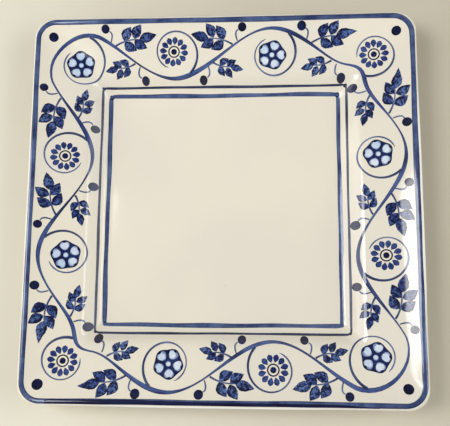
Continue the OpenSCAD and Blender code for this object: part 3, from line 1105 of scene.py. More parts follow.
@dataclass
class PlateBody:
    """The clay and its two glazes, each lofted through rounded square rings."""

    form: PlateForm
    kiln: Kiln
    corner_steps: int = 12
    side_cuts: int = 22
    cap_rings: tuple[float, ...] = (0.985, 0.8, 0.6, 0.4, 0.2)
    stack_z: float = 100.0
    stack_step: float = 1.0
    side_from_l: float = 40.0
    smooth_angle: float = 40.0

    def loft(self, name: str, profile: Sequence[Point], caps: Sequence[int]) -> bpy.types.Object:
        """Bridges rounded square rings, one for each point of a profile.

        The rings are added in a stack, so that the bridge takes them in their order, and each
        ring then moves to its own height.

        Args:
            name: Name of the new object.
            profile: Its profile.
            caps: Numbers of the rings that are closed with a flat face.

        Returns:
            The loft.
        """
        deselect()
        # The plane is emptied and only holds the rings
        bpy.ops.mesh.primitive_plane_add(size=1)
        bpy.ops.object.mode_set(mode="EDIT")
        bpy.ops.mesh.delete(type="VERT")
        levels = [self.stack_z + index * self.stack_step for index in range(len(profile))]
        for level, (half, _) in zip(levels, profile):
            bpy.ops.mesh.primitive_plane_add(size=2 * half * MM, location=(0, 0, level * MM))
            bpy.ops.mesh.bevel(
                affect="VERTICES",
                offset=self.form.corner_r(half) * MM,
                offset_type="OFFSET",
                segments=self.corner_steps,
                profile=0.5,
            )
        bpy.ops.mesh.select_all(action="SELECT")
        bpy.ops.mesh.delete(type="ONLY_FACE")
        bpy.ops.mesh.select_all(action="SELECT")
        bpy.ops.mesh.bridge_edge_loops()
        pick(lambda edge: edge.calc_length() > self.side_from_l * MM, Select.EDGES)
        bpy.ops.mesh.subdivide(number_cuts=self.side_cuts)
        slack = self.stack_step * MM / 10
        for ring in caps:
            pick(lambda v: abs(v.co.z - levels[ring] * MM) < slack)
            bpy.ops.mesh.edge_face_add()
            inset_rings(self.cap_rings)
        for level, (_, height) in zip(levels, profile):
            pick(lambda v: abs(v.co.z - level * MM) < slack)
            shift(z=height - level)
        bpy.ops.mesh.select_all(action="SELECT")
        bpy.ops.mesh.normals_make_consistent(inside=False)
        return named(name)

    def finished(self, obj: bpy.types.Object) -> bpy.types.Object:
        """Fires a body and smooths it.

        Args:
            obj: The body.

        Returns:
            The same body.
        """
        self.kiln.fire(obj, self.form.width / 2)
        take(obj)
        bpy.ops.object.shade_smooth_by_angle(angle=math.radians(self.smooth_angle))
        return obj

    def shell(self, obj: bpy.types.Object) -> None:
        """Gives an open skin the thickness of the glaze, inwards.

        Args:
            obj: The skin.
        """
        wall = obj.modifiers.new("Glaze", "SOLIDIFY")
        wall.thickness = self.form.glaze_t * MM
        wall.offset = -1
        wall.use_even_offset = True
        apply_all(obj)

    def clay(self) -> bpy.types.Object:
        """Models the clay body.

        Returns:
            The body, closed all round.
        """
        form = self.form
        profile = form.glazed_side()[:-1] + form.foot_ring()
        return self.finished(self.loft("clay", profile, (0, len(profile) - 1)))

    def face_glaze(self) -> bpy.types.Object:
        """Models the upper glaze.

        Returns:
            The glaze over the face, the edge and the underside.
        """
        skin = self.loft("face_of_glaze", self.form.glaze_skin(), (0,))
        self.shell(skin)
        return self.finished(skin)

    def base_glaze(self) -> bpy.types.Object:
        """Models the lower glaze, turned so that it faces down before it gets its thickness.

        Returns:
            The glaze inside the foot ring.
        """
        profile = self.form.base_skin()
        skin = self.loft("base_of_glaze", profile, (len(profile) - 1,))
        widest = max(skin.data.polygons, key=lambda face: face.area)
        if widest.normal.z > 0:
            edit(skin)
            bpy.ops.mesh.flip_normals()
            bpy.ops.object.mode_set(mode="OBJECT")
        self.shell(skin)
        return self.finished(skin)


# The painting


@dataclass
class Painting:
    """The tools that every part of the painting is made with: brush, dab, leaf and the laying.

    The film, the lifts and the slacks are in millimetres. A leaf's other values are shares.
    """

    ground: bpy.types.Object
    film: float = 0.04
    lift: float = 0.06
    lap_lift: float = 0.05
    fine_lift: float = 0.02
    smooth_angle: float = 35.0
    leaf_rows: int = 6
    leaf_swell: float = 0.8
    leaf_uneven: float = 0.06
    leaf_ripples: float = 3.0
    leaf_point: float = 0.001
    column_digits: int = 3
    column_slack: float = 0.002
    weld: float = 0.02
    bristles: bpy.types.Object = field(init=False)

    def __post_init__(self) -> None:
        """Makes the brush's tip, a short straight line that strokes are swept with."""
        deselect()
        bpy.ops.curve.primitive_nurbs_path_add(radius=MM / PATH_L)
        bpy.ops.object.mode_set(mode="EDIT")
        bpy.ops.curve.spline_type_set(type="POLY")
        self.bristles = named("bristles")

    def put_away(self) -> None:
        """Deletes the brush's tip."""
        thrown_away(self.bristles)

    def stroke(self, path: Sequence[StrokePoint], closed: bool = False) -> bpy.types.Object:
        """Draws one stroke, point by point, with the brush's width at each point.

        Args:
            path: Points of x, y and width, in millimetres.
            closed: Whether the stroke runs back into its start.

        Returns:
            A flat ribbon, with a UV map that runs along and across it.
        """
        deselect()
        start = Vector((path[0][0], path[0][1], SHEET_Z)) * MM
        middle = start - Vector((PATH_L / 2 * MM, 0, 0))
        bpy.ops.curve.primitive_nurbs_path_add(radius=MM, location=middle)
        bpy.ops.object.mode_set(mode="EDIT")
        bpy.ops.curve.spline_type_set(type="POLY")
        bpy.ops.curve.select_all(action="DESELECT")
        bpy.ops.curve.de_select_first()
        for _ in range(PATH_POINTS - 2):
            bpy.ops.curve.select_more()
        bpy.ops.curve.delete(type="VERT")
        bpy.ops.curve.select_all(action="SELECT")
        bpy.ops.curve.radius_set(radius=path[0][2])
        for before, after in zip(path, path[1:]):
            step = ((after[0] - before[0]) * MM, (after[1] - before[1]) * MM, 0)
            bpy.ops.curve.extrude_move(TRANSFORM_OT_translate={"value": step})
            bpy.ops.curve.radius_set(radius=after[2])
        if closed:
            bpy.ops.curve.select_all(action="SELECT")
            bpy.ops.curve.cyclic_toggle()
        bpy.ops.object.mode_set(mode="OBJECT")
        curve = bpy.context.object.data
        curve.twist_mode = "Z_UP"
        curve.bevel_mode = "OBJECT"
        curve.bevel_object = self.bristles
        bpy.ops.object.convert(target="MESH")
        bpy.ops.object.transform_apply(location=True, rotation=True, scale=True)
        return bpy.context.object

    def strokes(
        self,
        name: str,
        paths: Sequence[Sequence[StrokePoint]],
        lift: float = 0.0,
        closed: bool = False,
    ) -> bpy.types.Object:
        """Draws strokes as one piece and lays them on the glaze.

        Args:
            name: Name of the piece.
            paths: Their paths.
            lift: How far above the first film, in millimetres.
            closed: Whether each stroke runs back into its start.

        Returns:
            The piece.
        """
        return self.lay(joined(name, [self.stroke(path, closed) for path in paths]), lift)

    def dab(self, r: float, points: int, rings: int) -> bpy.types.Object:
        """Sets down a round dab of colour at the origin.

        Args:
            r: Its radius.
            points: Points of its outline.
            rings: Rings of points inside the outline.

        Returns:
            A flat disc that can follow a curved face.
        """
        disc(points, r)
        inset_rings([1 - ring / (rings + 1) for ring in range(1, rings + 1)])
        bpy.ops.mesh.poke()
        return map_flat(named("dab"), (0, 0), (r, r))

    def columns(self, spread: Callable[[float], float], drop: Callable[[float], float]) -> None:
        """Widens and moves the columns of the flat mesh in edit mode, one after another.

        Args:
            spread: How much wider the column at x, in millimetres, becomes.
            drop: How far it moves sideways, in millimetres.
        """
        mesh = bmesh.from_edit_mesh(bpy.context.object.data)
        places = sorted({round(v.co.x / MM, self.column_digits) for v in mesh.verts})
        for x in places:
            pick(lambda v: abs(v.co.x - x * MM) < self.column_slack * MM)
            scale(1, spread(x))
            shift(y=drop(x))

    def leaf(self, length: float, width: float, bend: float, steps: int) -> bpy.types.Object:
        """Presses down one leaf, which swells from its stalk and runs out to a point.

        Args:
            length: Its length, from the origin along x.
            width: Its greatest width.
            bend: How far its middle is bent sideways.
            steps: Number of columns.

        Returns:
            A flat leaf.
        """

        def swell(x: float) -> float:
            """Share of the leaf's full width at x."""
            t = min(max(x / length, 0), 1)
            return math.sin(math.pi * t**self.leaf_swell)

        def spread(x: float) -> float:
            """Share of the full width at x, with the brush's ripples."""
            ripple = 1 + self.leaf_uneven * hand(round(self.leaf_ripples * x))
            return max(swell(x) * ripple, self.leaf_point)

        deselect()
        bpy.ops.mesh.primitive_grid_add(x_subdivisions=steps, y_subdivisions=self.leaf_rows, size=MM)
        bpy.ops.object.mode_set(mode="EDIT")
        bpy.ops.mesh.select_all(action="SELECT")
        scale(length, width)
        shift(x=length / 2)
        self.columns(spread, lambda x: bend * swell(x))
        bpy.ops.mesh.select_all(action="SELECT")
        bpy.ops.mesh.remove_doubles(threshold=self.weld * MM)
        return named("leaf")

    def lay(self, obj: bpy.types.Object, lift: float = 0.0) -> bpy.types.Object:
        """Lays a flat piece on the glaze and gives it the thickness of a film of colour.

        Args:
            obj: The piece, in the plan.
            lift: How far above the first film, in millimetres.

        Returns:
            The same piece.
        """
        edit(obj)
        bpy.ops.transform.resize(value=(1, 1, 0), center_override=(0, 0, 0))
        shift(z=SHEET_Z)
        bpy.ops.object.mode_set(mode="OBJECT")
        wrap = obj.modifiers.new("Lay", "SHRINKWRAP")
        wrap.target = self.ground
        wrap.wrap_method = "PROJECT"
        wrap.wrap_mode = "ABOVE_SURFACE"
        wrap.use_project_z = True
        wrap.use_negative_direction = True
        wrap.use_positive_direction = False
        wrap.offset = (self.lift + lift) * MM
        film = obj.modifiers.new("Film", "SOLIDIFY")
        film.thickness = self.film * MM
        film.offset = -1
        apply_all(obj)
        bpy.ops.object.shade_smooth_by_angle(angle=math.radians(self.smooth_angle))
        return obj


@dataclass(frozen=True)
class BorderPlan:
    """Lays out the painted border in the plan, in millimetres.

    The border's own coordinates are sides, counted clockwise from the middle of the far side,
    and the distance out from the middle of the border. Shares are of the motifs' size, and what
    moves a blossom is a share of its radius.
    """

    form: PlateForm
    band_w: float = 3.5
    band_inset: float = 3.2
    inner_line_w: float = 1.9
    inner_line_out: float = 2.5
    outer_line_w: float = 1.3
    outer_line_out: float = 8.0
    turn_share: float = 0.97
    pitch_share: float = 0.3
    vine_clear_share: float = 0.16
    vine_w_share: float = 0.096
    scroll_w_share: float = 0.053
    blossom_share: float = 0.5
    swings_per_side: int = 3
    tight_share: float = 0.42
    tight_out: float = 0.25
    nestle: float = 0.16
    vine_full: float = 1.45
    vine_thin: float = 0.85
    vine_uneven: float = 0.14
    vine_press_start: float = 53.1
    vine_waver_l: float = 210.0
    blossom_turn: float = 25.0

    @property
    def band_half(self) -> float:
        """Distance of the band from the middle of the plate."""
        return self.form.width / 2 - self.band_inset

    @property
    def inner_line_at(self) -> float:
        """Distance of the inner line from the middle of the plate."""
        return self.form.well_half + self.inner_line_out

    @property
    def outer_line_at(self) -> float:
        """Distance of the outer line from the middle of the plate."""
        return self.form.well_half + self.outer_line_out

    @property
    def inside(self) -> float:
        """Where the border starts."""
        return self.outer_line_at + self.outer_line_w / 2

    @property
    def outside(self) -> float:
        """Where the border ends."""
        return self.band_half - self.band_w / 2

    @property
    def mid(self) -> float:
        """Distance of the border's middle from the middle of the plate."""
        return (self.inside + self.outside) / 2

    @property
    def half(self) -> float:
        """Half the width of the border."""
        return (self.outside - self.inside) / 2

    @property
    def turn_r(self) -> float:
        """Radius of the turn of the border's middle at a corner."""
        return self.turn_share * self.half

    @property
    def straight_half(self) -> float:
        """Half the length of a straight stretch of the border's middle."""
        return self.mid - self.turn_r

    @property
    def side_half_l(self) -> float:
        """Half the length of one side of the border's middle, up to the corners."""
        return self.straight_half + self.turn_r * math.pi / 4

    @property
    def swing_l(self) -> float:
        """Length of one swing of the vine."""
        return 2 * self.side_half_l / self.swings_per_side

    @property
    def size(self) -> float:
        """The size that all motifs follow."""
        return min(self.half, self.pitch_share * self.swing_l)

    @property
    def swings(self) -> int:
        """Number of swings of the vine."""
        return 4 * self.swings_per_side

    @property
    def vine_w(self) -> float:
        """Width of the vine."""
        return self.vine_w_share * self.size

    @property
    def scroll_w(self) -> float:
        """Width of the scrolls and stems."""
        return self.scroll_w_share * self.size

    @property
    def blossom_r(self) -> float:
        """Radius of a blossom."""
        return self.blossom_share * self.size

    @property
    def vine_swing(self) -> float:
        """How far the vine swings out of the border's middle."""
        return self.half - self.vine_clear_share * self.size - self.vine_w / 2

    def turn(self, along: float) -> float:
        """Angle that the border has turned at a distance along its side."""
        past = abs(along) - self.straight_half
        return 0.0 if past <= 0 else math.copysign(math.degrees(past / self.turn_r), along)

    def point(self, sides: float, out: float) -> Point:
        """Gives the point of the plan at the border's own coordinates.

        Args:
            sides: Sides, counted clockwise from the middle of the far side.
            out: Distance out from the border's middle.

        Returns:
            The point.
        """
        side = math.floor(sides + 0.5)
        along = 2 * (sides - side) * self.side_half_l
        turn = self.turn(along)
        sin, cos = math.sin(math.radians(turn)), math.cos(math.radians(turn))
        if turn == 0:
            middle = (along, self.mid)
        else:
            reach = math.copysign(self.straight_half, along)
            middle = (reach + self.turn_r * sin, self.straight_half + self.turn_r * cos)
        return turned(moved(middle, (sin, cos), out), -90 * side)

    def angle(self, sides: float) -> float:
        """Angle of the border's course at a place along it."""
        side = math.floor(sides + 0.5)
        return -90 * side - self.turn(2 * (sides - side) * self.side_half_l)

    @staticmethod
    def bend(index: int) -> int:
        """The side to which a swing of the vine bends: 1 is outwards."""
        return 1 if index % 2 == 0 else -1

    def at_corner(self, index: int) -> bool:
        """Whether a swing of the vine lies in a corner."""
        return index % self.swings_per_side == (self.swings_per_side - 1) // 2

    def is_tight(self, index: int) -> bool:
        """Whether a swing of the vine bends into a corner, where it has less room."""
        return self.at_corner(index) and self.bend(index) < 0

    def vine_out(self, at: float) -> float:
        """Works out how far out the vine runs.

        Args:
            at: The place along the border, in sides.

        Returns:
            The distance out from the border's middle.
        """
        index = math.floor(at * self.swings_per_side)
        swing = math.sin(math.pi * self.swings_per_side * at)
        room = 1 - self.tight_share * swing * swing if self.is_tight(index) else 1
        return self.vine_swing * swing * room

    def vine_width(self, at: float) -> float:
        """Works out the width of the vine, which thins and swells with the painter's press.

        Args:
            at: The place along the border, in sides.

        Returns:
            The width.
        """
        turn = math.pi * self.swings_per_side * at + math.radians(self.vine_press_start)
        press = math.sin(turn)
        waver = self.vine_uneven * drift(self.vine_waver_l * at, Waver.VINE_WIDTH)
        return self.vine_w * (self.vine_full - self.vine_thin * press * press + waver)

    def blossom_at(self, index: int) -> float:
        """Place of a blossom along the border."""
        return (index + 0.5) / self.swings_per_side

    def blossom_centre(self, index: int) -> Point:
        """Works out the centre of a blossom, which nestles a little into its bend.

        Args:
            index: Number of the blossom.

        Returns:
            The point of the plan.
        """
        out = -self.nestle * self.blossom_r * self.bend(index)
        if self.is_tight(index):
            out += self.tight_out * self.blossom_r
        return self.point(self.blossom_at(index), out)

    def blossom_angle(self, index: int) -> float:
        """Turn of a blossom."""
        return self.angle(self.blossom_at(index)) + self.blossom_turn * hand(index)

    def in_field(self, index: int, side: int, point: Point) -> Point:
        """Gives the point of the plan for a point in a field beside the vine.

        A field's coordinates run from the vine's crossing into the open end of the field, and
        from the border's middle to its own side.

        Args:
            index: Number of the crossing.
            side: 1 for the outer side of the border, -1 for the inner side.
            point: The point, in the field's coordinates.

        Returns:
            The point of the plan.
        """
        way = -side * self.bend(index)
        along = index / self.swings_per_side + way * point[0] / (2 * self.side_half_l)
        return self.point(along, side * point[1])

    def vine_in_field(self, x: float) -> float:
        """Where the vine runs in a field's coordinates."""
        return -self.vine_swing * math.sin(math.pi * x / self.swing_l)


@dataclass
class Lines:
    """The band along the edge and the two lines round the well.

    Full, thin and uneven are shares of a line's width, and stray is how far its middle strays.
    """

    plan: BorderPlan
    paint: Painting
    step_l: float = 3.0
    corner_steps: int = 16
    band_uneven: float = 0.09
    band_stray: float = 0.0009
    lap_ends: Point = (-0.97, 0.86)
    lap_low: float = 0.5
    lap_full: float = 0.92
    lap_thin: float = 0.5
    lap_uneven: float = 0.07
    lap_stray: float = 0.12
    lap_start: Point = (0.6, 20.0)
    lap_run_out: float = 9.0
    lap_least: float = 0.12
    inner_run: float = 1.55
    outer_run: float = 1.15
    corner_cut: float = 0.12
    overshoot: float = 0.5
    hook_l: float = 3.0
    end_press: float = 0.55
    end_rate: float = 22.0
    line_stray: float = 0.1
    line_uneven: float = 0.16
    over_lift: float = 0.032
    corner_dab: float = 0.95
    corner_dab_size: Point = (0.85, 0.15)
    corner_dab_turn: float = 40.0

    def band_path(self) -> list[StrokePoint]:
        """Works out the path of the band.

        Returns:
            The path, round the whole edge.
        """
        half = self.plan.band_half
        r = self.plan.form.corner_r(half)
        path = []
        for side in range(4):
            for step in range(self.corner_steps + 1):
                angle = 90 * side + 90 * step / self.corner_steps
                corner = turned((half - r, half - r), 90 * side)
                path.append(moved(corner, heading(angle), r))
            count = round(2 * (half - r) / self.step_l)
            for step in range(1, count):
                reach = (half - r) * (1 - 2 * step / count)
                path.append(turned((reach, half), 90 * side))
        marks = []
        run = 0.0
        for index, point in enumerate(path):
            run += math.dist(point, path[index - 1]) if index else 0.0
            width = self.plan.band_w * (1 + self.band_uneven * drift(run, Waver.BAND_WIDTH))
            away = 1 + self.band_stray * drift(run, Waver.BAND_PLACE)
            marks.append((point[0] * away, point[1] * away, width))
        return marks

    def band(self) -> bpy.types.Object:
        """Draws the band, all round the edge."""
        return self.paint.strokes("edge_band", [self.band_path()], closed=True)

    def lap(self) -> bpy.types.Object:
        """Draws the darker stroke over the band's near side, full at its start and then thinner.

        Returns:
            The stroke.
        """
        plan = self.plan
        side = plan.band_half - plan.form.corner_r(plan.band_half)
        first, last = (share * side for share in self.lap_ends)
        count = round((last - first) / self.step_l)
        path = []
        for step in range(count + 1):
            t = step / count
            x = first + (last - first) * t
            touch_down = self.lap_start[0] + self.lap_start[1] * t
            press = math.sqrt(min(1, touch_down, self.lap_run_out * (1 - t)))
            share = self.lap_full - self.lap_thin * t + self.lap_uneven * drift(x, Waver.LAP_WIDTH)
            width = plan.band_w * share * max(press, self.lap_least)
            low = plan.band_half + self.lap_low * plan.band_w + self.lap_stray * drift(x, Waver.LAP_PLACE)
            path.append((x, width / 2 - low, width))
        return self.paint.strokes("edge_lap", [path], self.paint.lap_lift)

    def line_corner(self, at: float) -> float:
        """How far from the middle, along a side, the strokes of a line meet."""
        return at - self.corner_cut * self.plan.form.corner_r(at)

    def well_stroke(self, at: float, width: float, side: int, kind: int) -> list[StrokePoint]:
        """Path of one side of a line round the well, drawn a little past both corners.

        Args:
            at: Distance of the line from the middle of the plate.
            width: Its width.
            side: Which side.
            kind: Which line.

        Returns:
            The path.
        """
        corner = self.line_corner(at)
        over = self.overshoot * width
        count = round(2 * (corner + over) / self.step_l)
        path = []
        for step in range(count + 1):
            t = step / count
            y = (corner + over) * (2 * t - 1)
            ends = min(1, (1 - abs(2 * t - 1)) * self.end_rate)
            inward = (at - corner) * max(0, (abs(y) - (corner - self.hook_l)) / self.hook_l) ** 2
            x = at - min(inward, at - corner) + self.line_stray * width * drift(y, kind + side)
            uneven = 1 + self.line_uneven * drift(y, kind + Waver.LINE_WIDTH + 2 * side)
            press = self.end_press + (1 - self.end_press) * ends
            path.append((*turned((x, y), 90 * side), width * uneven * press))
        return path

    def well_line(self, name: str, at: float, width: float, kind: int) -> bpy.types.Object:
        """Draws a line round the well in four strokes, two of them lapped over the others.

        Args:
            name: Name of the piece.
            at: Distance of the line from the middle of the plate.
            width: Its width.
            kind: Which line.

        Returns:
            The piece.
        """
        paths = [self.well_stroke(at, width, side, kind) for side in range(4)]
        first = self.paint.strokes(name, paths[::2])
        second = self.paint.strokes(name + "_over", paths[1::2], self.over_lift)
        return joined(name, [first, second])

    def inner(self) -> bpy.types.Object:
        """Draws the inner line."""
        width = self.inner_run * self.plan.inner_line_w
        return self.well_line("inner_line", self.plan.inner_line_at, width, Waver.INNER_LINE)

    def outer(self) -> bpy.types.Object:
        """Draws the outer line."""
        width = self.outer_run * self.plan.outer_line_w
        return self.well_line("outer_line", self.plan.outer_line_at, width, Waver.OUTER_LINE)

    def laps(self) -> bpy.types.Object:
        """Dabs the dark corners where the strokes of the lines lap.

        Returns:
            The eight dabs.
        """
        dabs = []
        for at, width in (
            (self.plan.inner_line_at, self.plan.inner_line_w),
            (self.plan.outer_line_at, self.plan.outer_line_w),
        ):
            master = self.paint.dab(self.corner_dab * width, points=18, rings=1)
            corner = self.line_corner(at)
            for side in range(4):
                centre = turned((corner, corner), 90 * side)
                size = self.corner_dab_size[0] + self.corner_dab_size[1] * hand(side, Uneven.CORNER_SIZE)
                dabs.append(copied(master, spot(centre, self.corner_dab_turn * side, size)))
            thrown_away(master)
        return self.paint.lay(joined("corner_laps", dabs), self.paint.lap_lift)


@dataclass
class Vine:
    """The running vine with its scrolls, its tendrils and their berries.

    Widths are shares of a scroll's own width, places are shares of a swing's length or of the
    motifs' size, and turns are in degrees. The gap and the waver's length are in millimetres.
    """

    plan: BorderPlan
    paint: Painting
    swing_steps: int = 30
    scroll_steps: int = 46
    tendril_steps: int = 12
    gap: float = 0.12
    scroll_from: float = 0.17
    scroll_turn: float = 300.0
    scroll_clear: float = 0.04
    scroll_full: float = 1.7
    scroll_thin: float = 0.75
    scroll_hollow: float = 0.4
    scroll_uneven: float = 0.12
    scroll_waver_l: float = 90.0
    scroll_tip: Point = (14.0, 0.25)
    berry_share: float = 0.145
    berry_along_share: float = -0.2
    berry_out_share: float = 0.38
    berry_uneven: float = 0.07
    berry_turn: float = 70.0
    tendril_along_share: float = -0.15
    tendril_tip: float = -30.0
    tendril_handles: Point = (70.0, -20.0)
    tendril_w: float = 0.9
    tendril_press: Point = (0.75, 0.35)
    dot_share: float = 0.165
    dot_out_share: float = 0.24
    dot_uneven: float = 0.05
    dot_turn: float = 50.0

    def vine(self) -> bpy.types.Object:
        """Draws the vine.

        Returns:
            The vine, all round the border.
        """
        plan = self.plan
        path = []
        for step in range(plan.swings * self.swing_steps):
            at = step / self.swing_steps / plan.swings_per_side
            path.append((*plan.point(at, plan.vine_out(at)), plan.vine_width(at)))
        return self.paint.strokes("vine_stroke", [path], closed=True)

    def scroll_path(self, index: int) -> list[StrokePoint]:
        """Path of the scroll that leaves the vine and curls round a blossom.

        Args:
            index: Number of the blossom.

        Returns:
            The path.
        """
        plan = self.plan
        bend = plan.bend(index)
        at = plan.blossom_at(index) + self.scroll_from / plan.swings_per_side
        centre = plan.blossom_centre(index)
        edge = bend * (plan.vine_w / 2 + self.gap)
        start = moved(plan.point(at, plan.vine_out(at) - edge), centre, -1)
        end_r = plan.blossom_r + self.scroll_clear * plan.size + plan.scroll_w / 2
        first = math.degrees(math.atan2(start[1], start[0]))
        path = []
        for step in range(self.scroll_steps + 1):
            t = step / self.scroll_steps
            r = end_r + (math.hypot(*start) - end_r) * (1 - t) ** 2
            place = moved(centre, heading(first - bend * self.scroll_turn * t), r)
            press = self.scroll_full - self.scroll_thin * t - self.scroll_hollow * math.sin(math.pi * t)
            press += self.scroll_uneven * drift(self.scroll_waver_l * t, index)
            tip = min(1, self.scroll_tip[0] * (1 - t) + self.scroll_tip[1])
            path.append((*place, plan.scroll_w * press * tip))
        return path

    def scrolls(self) -> bpy.types.Object:
        """Draws all scrolls."""
        paths = [self.scroll_path(index) for index in range(self.plan.swings)]
        return self.paint.strokes("scroll_strokes", paths, self.paint.fine_lift)

    @property
    def berry_r(self) -> float:
        """Radius of a berry."""
        return self.berry_share * self.plan.size

    @property
    def berry_spot(self) -> Point:
        """Centre of a berry in its field."""
        x = self.berry_along_share * self.plan.swing_l
        return x, self.plan.vine_in_field(x) + self.berry_out_share * self.plan.size

    def tendril_path(self, index: int, side: int) -> list[StrokePoint]:
        """Path of the tendril from the vine to a berry.

        Args:
            index: Number of the vine's crossing.
            side: Which side of the border.

        Returns:
            The path.
        """
        plan = self.plan
        x = self.tendril_along_share * plan.swing_l
        foot = (x, plan.vine_in_field(x) + plan.vine_w / 2 + self.gap)
        tip = moved(self.berry_spot, heading(self.tendril_tip), self.berry_r + self.gap)
        first, last = (heading(angle) for angle in self.tendril_handles)
        handles = moved(foot, first, self.berry_r), moved(tip, last, self.berry_r)
        curve = [foot, *bezier(foot, *handles, tip, self.tendril_steps)]
        path = []
        for step, place in enumerate(curve):
            swell = math.sin(math.pi * step / self.tendril_steps)
            press = self.tendril_press[0] + self.tendril_press[1] * swell
            path.append((*plan.in_field(index, side, place), self.tendril_w * plan.scroll_w * press))
        return path

    def tendrils(self) -> bpy.types.Object:
        """Draws the tendrils.

        Returns:
            All of them, one on each side of each of the vine's crossings.
        """
        fields = [(index, side) for index in range(self.plan.swings) for side in (-1, 1)]
        paths = [self.tendril_path(*place) for place in fields]
        return self.paint.strokes("tendril_strokes", paths, self.paint.fine_lift)

    def berries(self) -> bpy.types.Object:
        """Dabs the berries.

        Returns:
            All of them, one at the end of each tendril.
        """
        master = self.paint.dab(self.berry_r, points=24, rings=2)
        places = []
        for index in range(self.plan.swings):
            for side in (-1, 1):
                centre = self.plan.in_field(index, side, self.berry_spot)
                size = 1 + self.berry_uneven * hand(2 * index + side, Uneven.BERRY_SIZE)
                turn = self.berry_turn * hand(index, Uneven.BERRY_TURN)
                places.append(spot(centre, turn, size))
        return self.paint.lay(repeated("berry_dabs", master, places))

    def corner_dots(self) -> bpy.types.Object:
        """Dabs the single dots.

        Returns:
            All of them, one in each corner.
        """
        master = self.paint.dab(self.dot_share * self.plan.size, points=30, rings=3)
        places = []
        for side in range(4):
            centre = self.plan.point(side + 0.5, self.plan.half + self.dot_out_share * self.plan.size)
            size = 1 + self.dot_uneven * hand(side, Uneven.DOT_SIZE)
            places.append(spot(centre, self.dot_turn * side, size))
        return self.paint.lay(repeated("corner_dabs", master, places))


@dataclass
class Sprigs:
    """The leaf sprigs: large ones on the outer side of the vine and small ones inside it.

    The length and width of each kind of leaf are shares of the motifs' size.
    """

    plan: BorderPlan
    paint: Painting
    large: Point = (0.63, 0.29)
    small: Point = (0.46, 0.21)
    along_share: float = -0.1
    angle: float = 14.0
    bow: float = 0.08
    stem_share: float = 1.35
    stem_w: Point = (1.25, 0.6)
    pairs: Point = (0.36, 0.78)
    spread: float = 46.0
    pair_size: float = 0.82
    leaf_bend: float = 0.06
    stem_steps: int = 14
    tip_steps: int = 14
    side_steps: int = 12
    gap: float = 0.12
    plump: float = 1.14

    def axis(self, leaf_l: float, share: float) -> Point:
        """Gives a point of a sprig's stem, in its field.

        Args:
            leaf_l: Length of the sprig's end leaf.
            share: How far along the stem.

        Returns:
            The point.
        """
        x = self.along_share * self.plan.swing_l
        foot = (x, self.plan.vine_in_field(x) + self.plan.vine_w / 2 + self.gap)
        reach = self.stem_share * leaf_l
        course = (reach * share, reach * 4 * self.bow * share * (1 - share))
        return moved(foot, turned(course, self.angle))

    def master(self, sizes: Point) -> bpy.types.Object:
        """Presses down the five leaves of a sprig, in its field's coordinates.

        Args:
            sizes: Length and width of a leaf, as shares of the motifs' size.

        Returns:
            The sprig.
        """
        length, width = (share * self.plan.size for share in sizes)
        width *= self.plump
        tip = self.paint.leaf(length, width, 0, self.tip_steps)
        leaves = [copied(tip, spot(self.axis(length, 1), self.angle))]
        thrown_away(tip)
        for turn in (-1, 1):
            bend = turn * self.leaf_bend * length
            side_leaf = self.paint.leaf(self.pair_size * length, width, bend, self.side_steps)
            for share in self.pairs:
                angle = self.angle + turn * self.spread
                reach = self.plan.scroll_w / 2 + self.gap
                foot = moved(self.axis(length, share), heading(angle), reach)
                leaves.append(copied(side_leaf, spot(foot, angle)))
            thrown_away(side_leaf)
        return joined("sprig", leaves)

    def leaves(self, name: str, sizes: Point, side: int) -> bpy.types.Object:
        """Copies a sprig into every field of one side of the border.

        Args:
            name: Name of the piece.
            sizes: Length and width of a leaf, as shares of the motifs' size.
            side: Which side of the border.

        Returns:
            The piece.
        """
        master = self.master(sizes)
        sprigs = []
        for index in range(self.plan.swings):
            sprig = copied(master, Matrix.Identity(4))
            for vertex in sprig.data.vertices:
                place = (vertex.co.x / MM, vertex.co.y / MM)
                x, y = self.plan.in_field(index, side, place)
                vertex.co = (x * MM, y * MM, 0)
            if self.plan.bend(index) > 0:
                sprig.data.flip_normals()
            sprigs.append(sprig)
        thrown_away(master)
        return self.paint.lay(joined(name, sprigs))

    def large_leaves(self) -> bpy.types.Object:
        """Makes the sprigs of large leaves."""
        return self.leaves("large_leaf_sprigs", self.large, 1)

    def small_leaves(self) -> bpy.types.Object:
        """Makes the sprigs of small leaves."""
        return self.leaves("small_leaf_sprigs", self.small, -1)

    def stems(self) -> bpy.types.Object:
        """Draws the stems.

        Returns:
            The stems of all sprigs.
        """
        paths = []
        for index in range(self.plan.swings):
            for side, share in ((1, self.large[0]), (-1, self.small[0])):
                path = []
                for step in range(self.stem_steps + 1):
                    t = step / self.stem_steps
                    place = self.axis(share * self.plan.size, t)
                    width = self.plan.scroll_w * (self.stem_w[0] - self.stem_w[1] * t)
                    path.append((*self.plan.in_field(index, side, place), width))
                paths.append(path)
        return self.paint.strokes("sprig_stem_strokes", paths, self.paint.fine_lift)


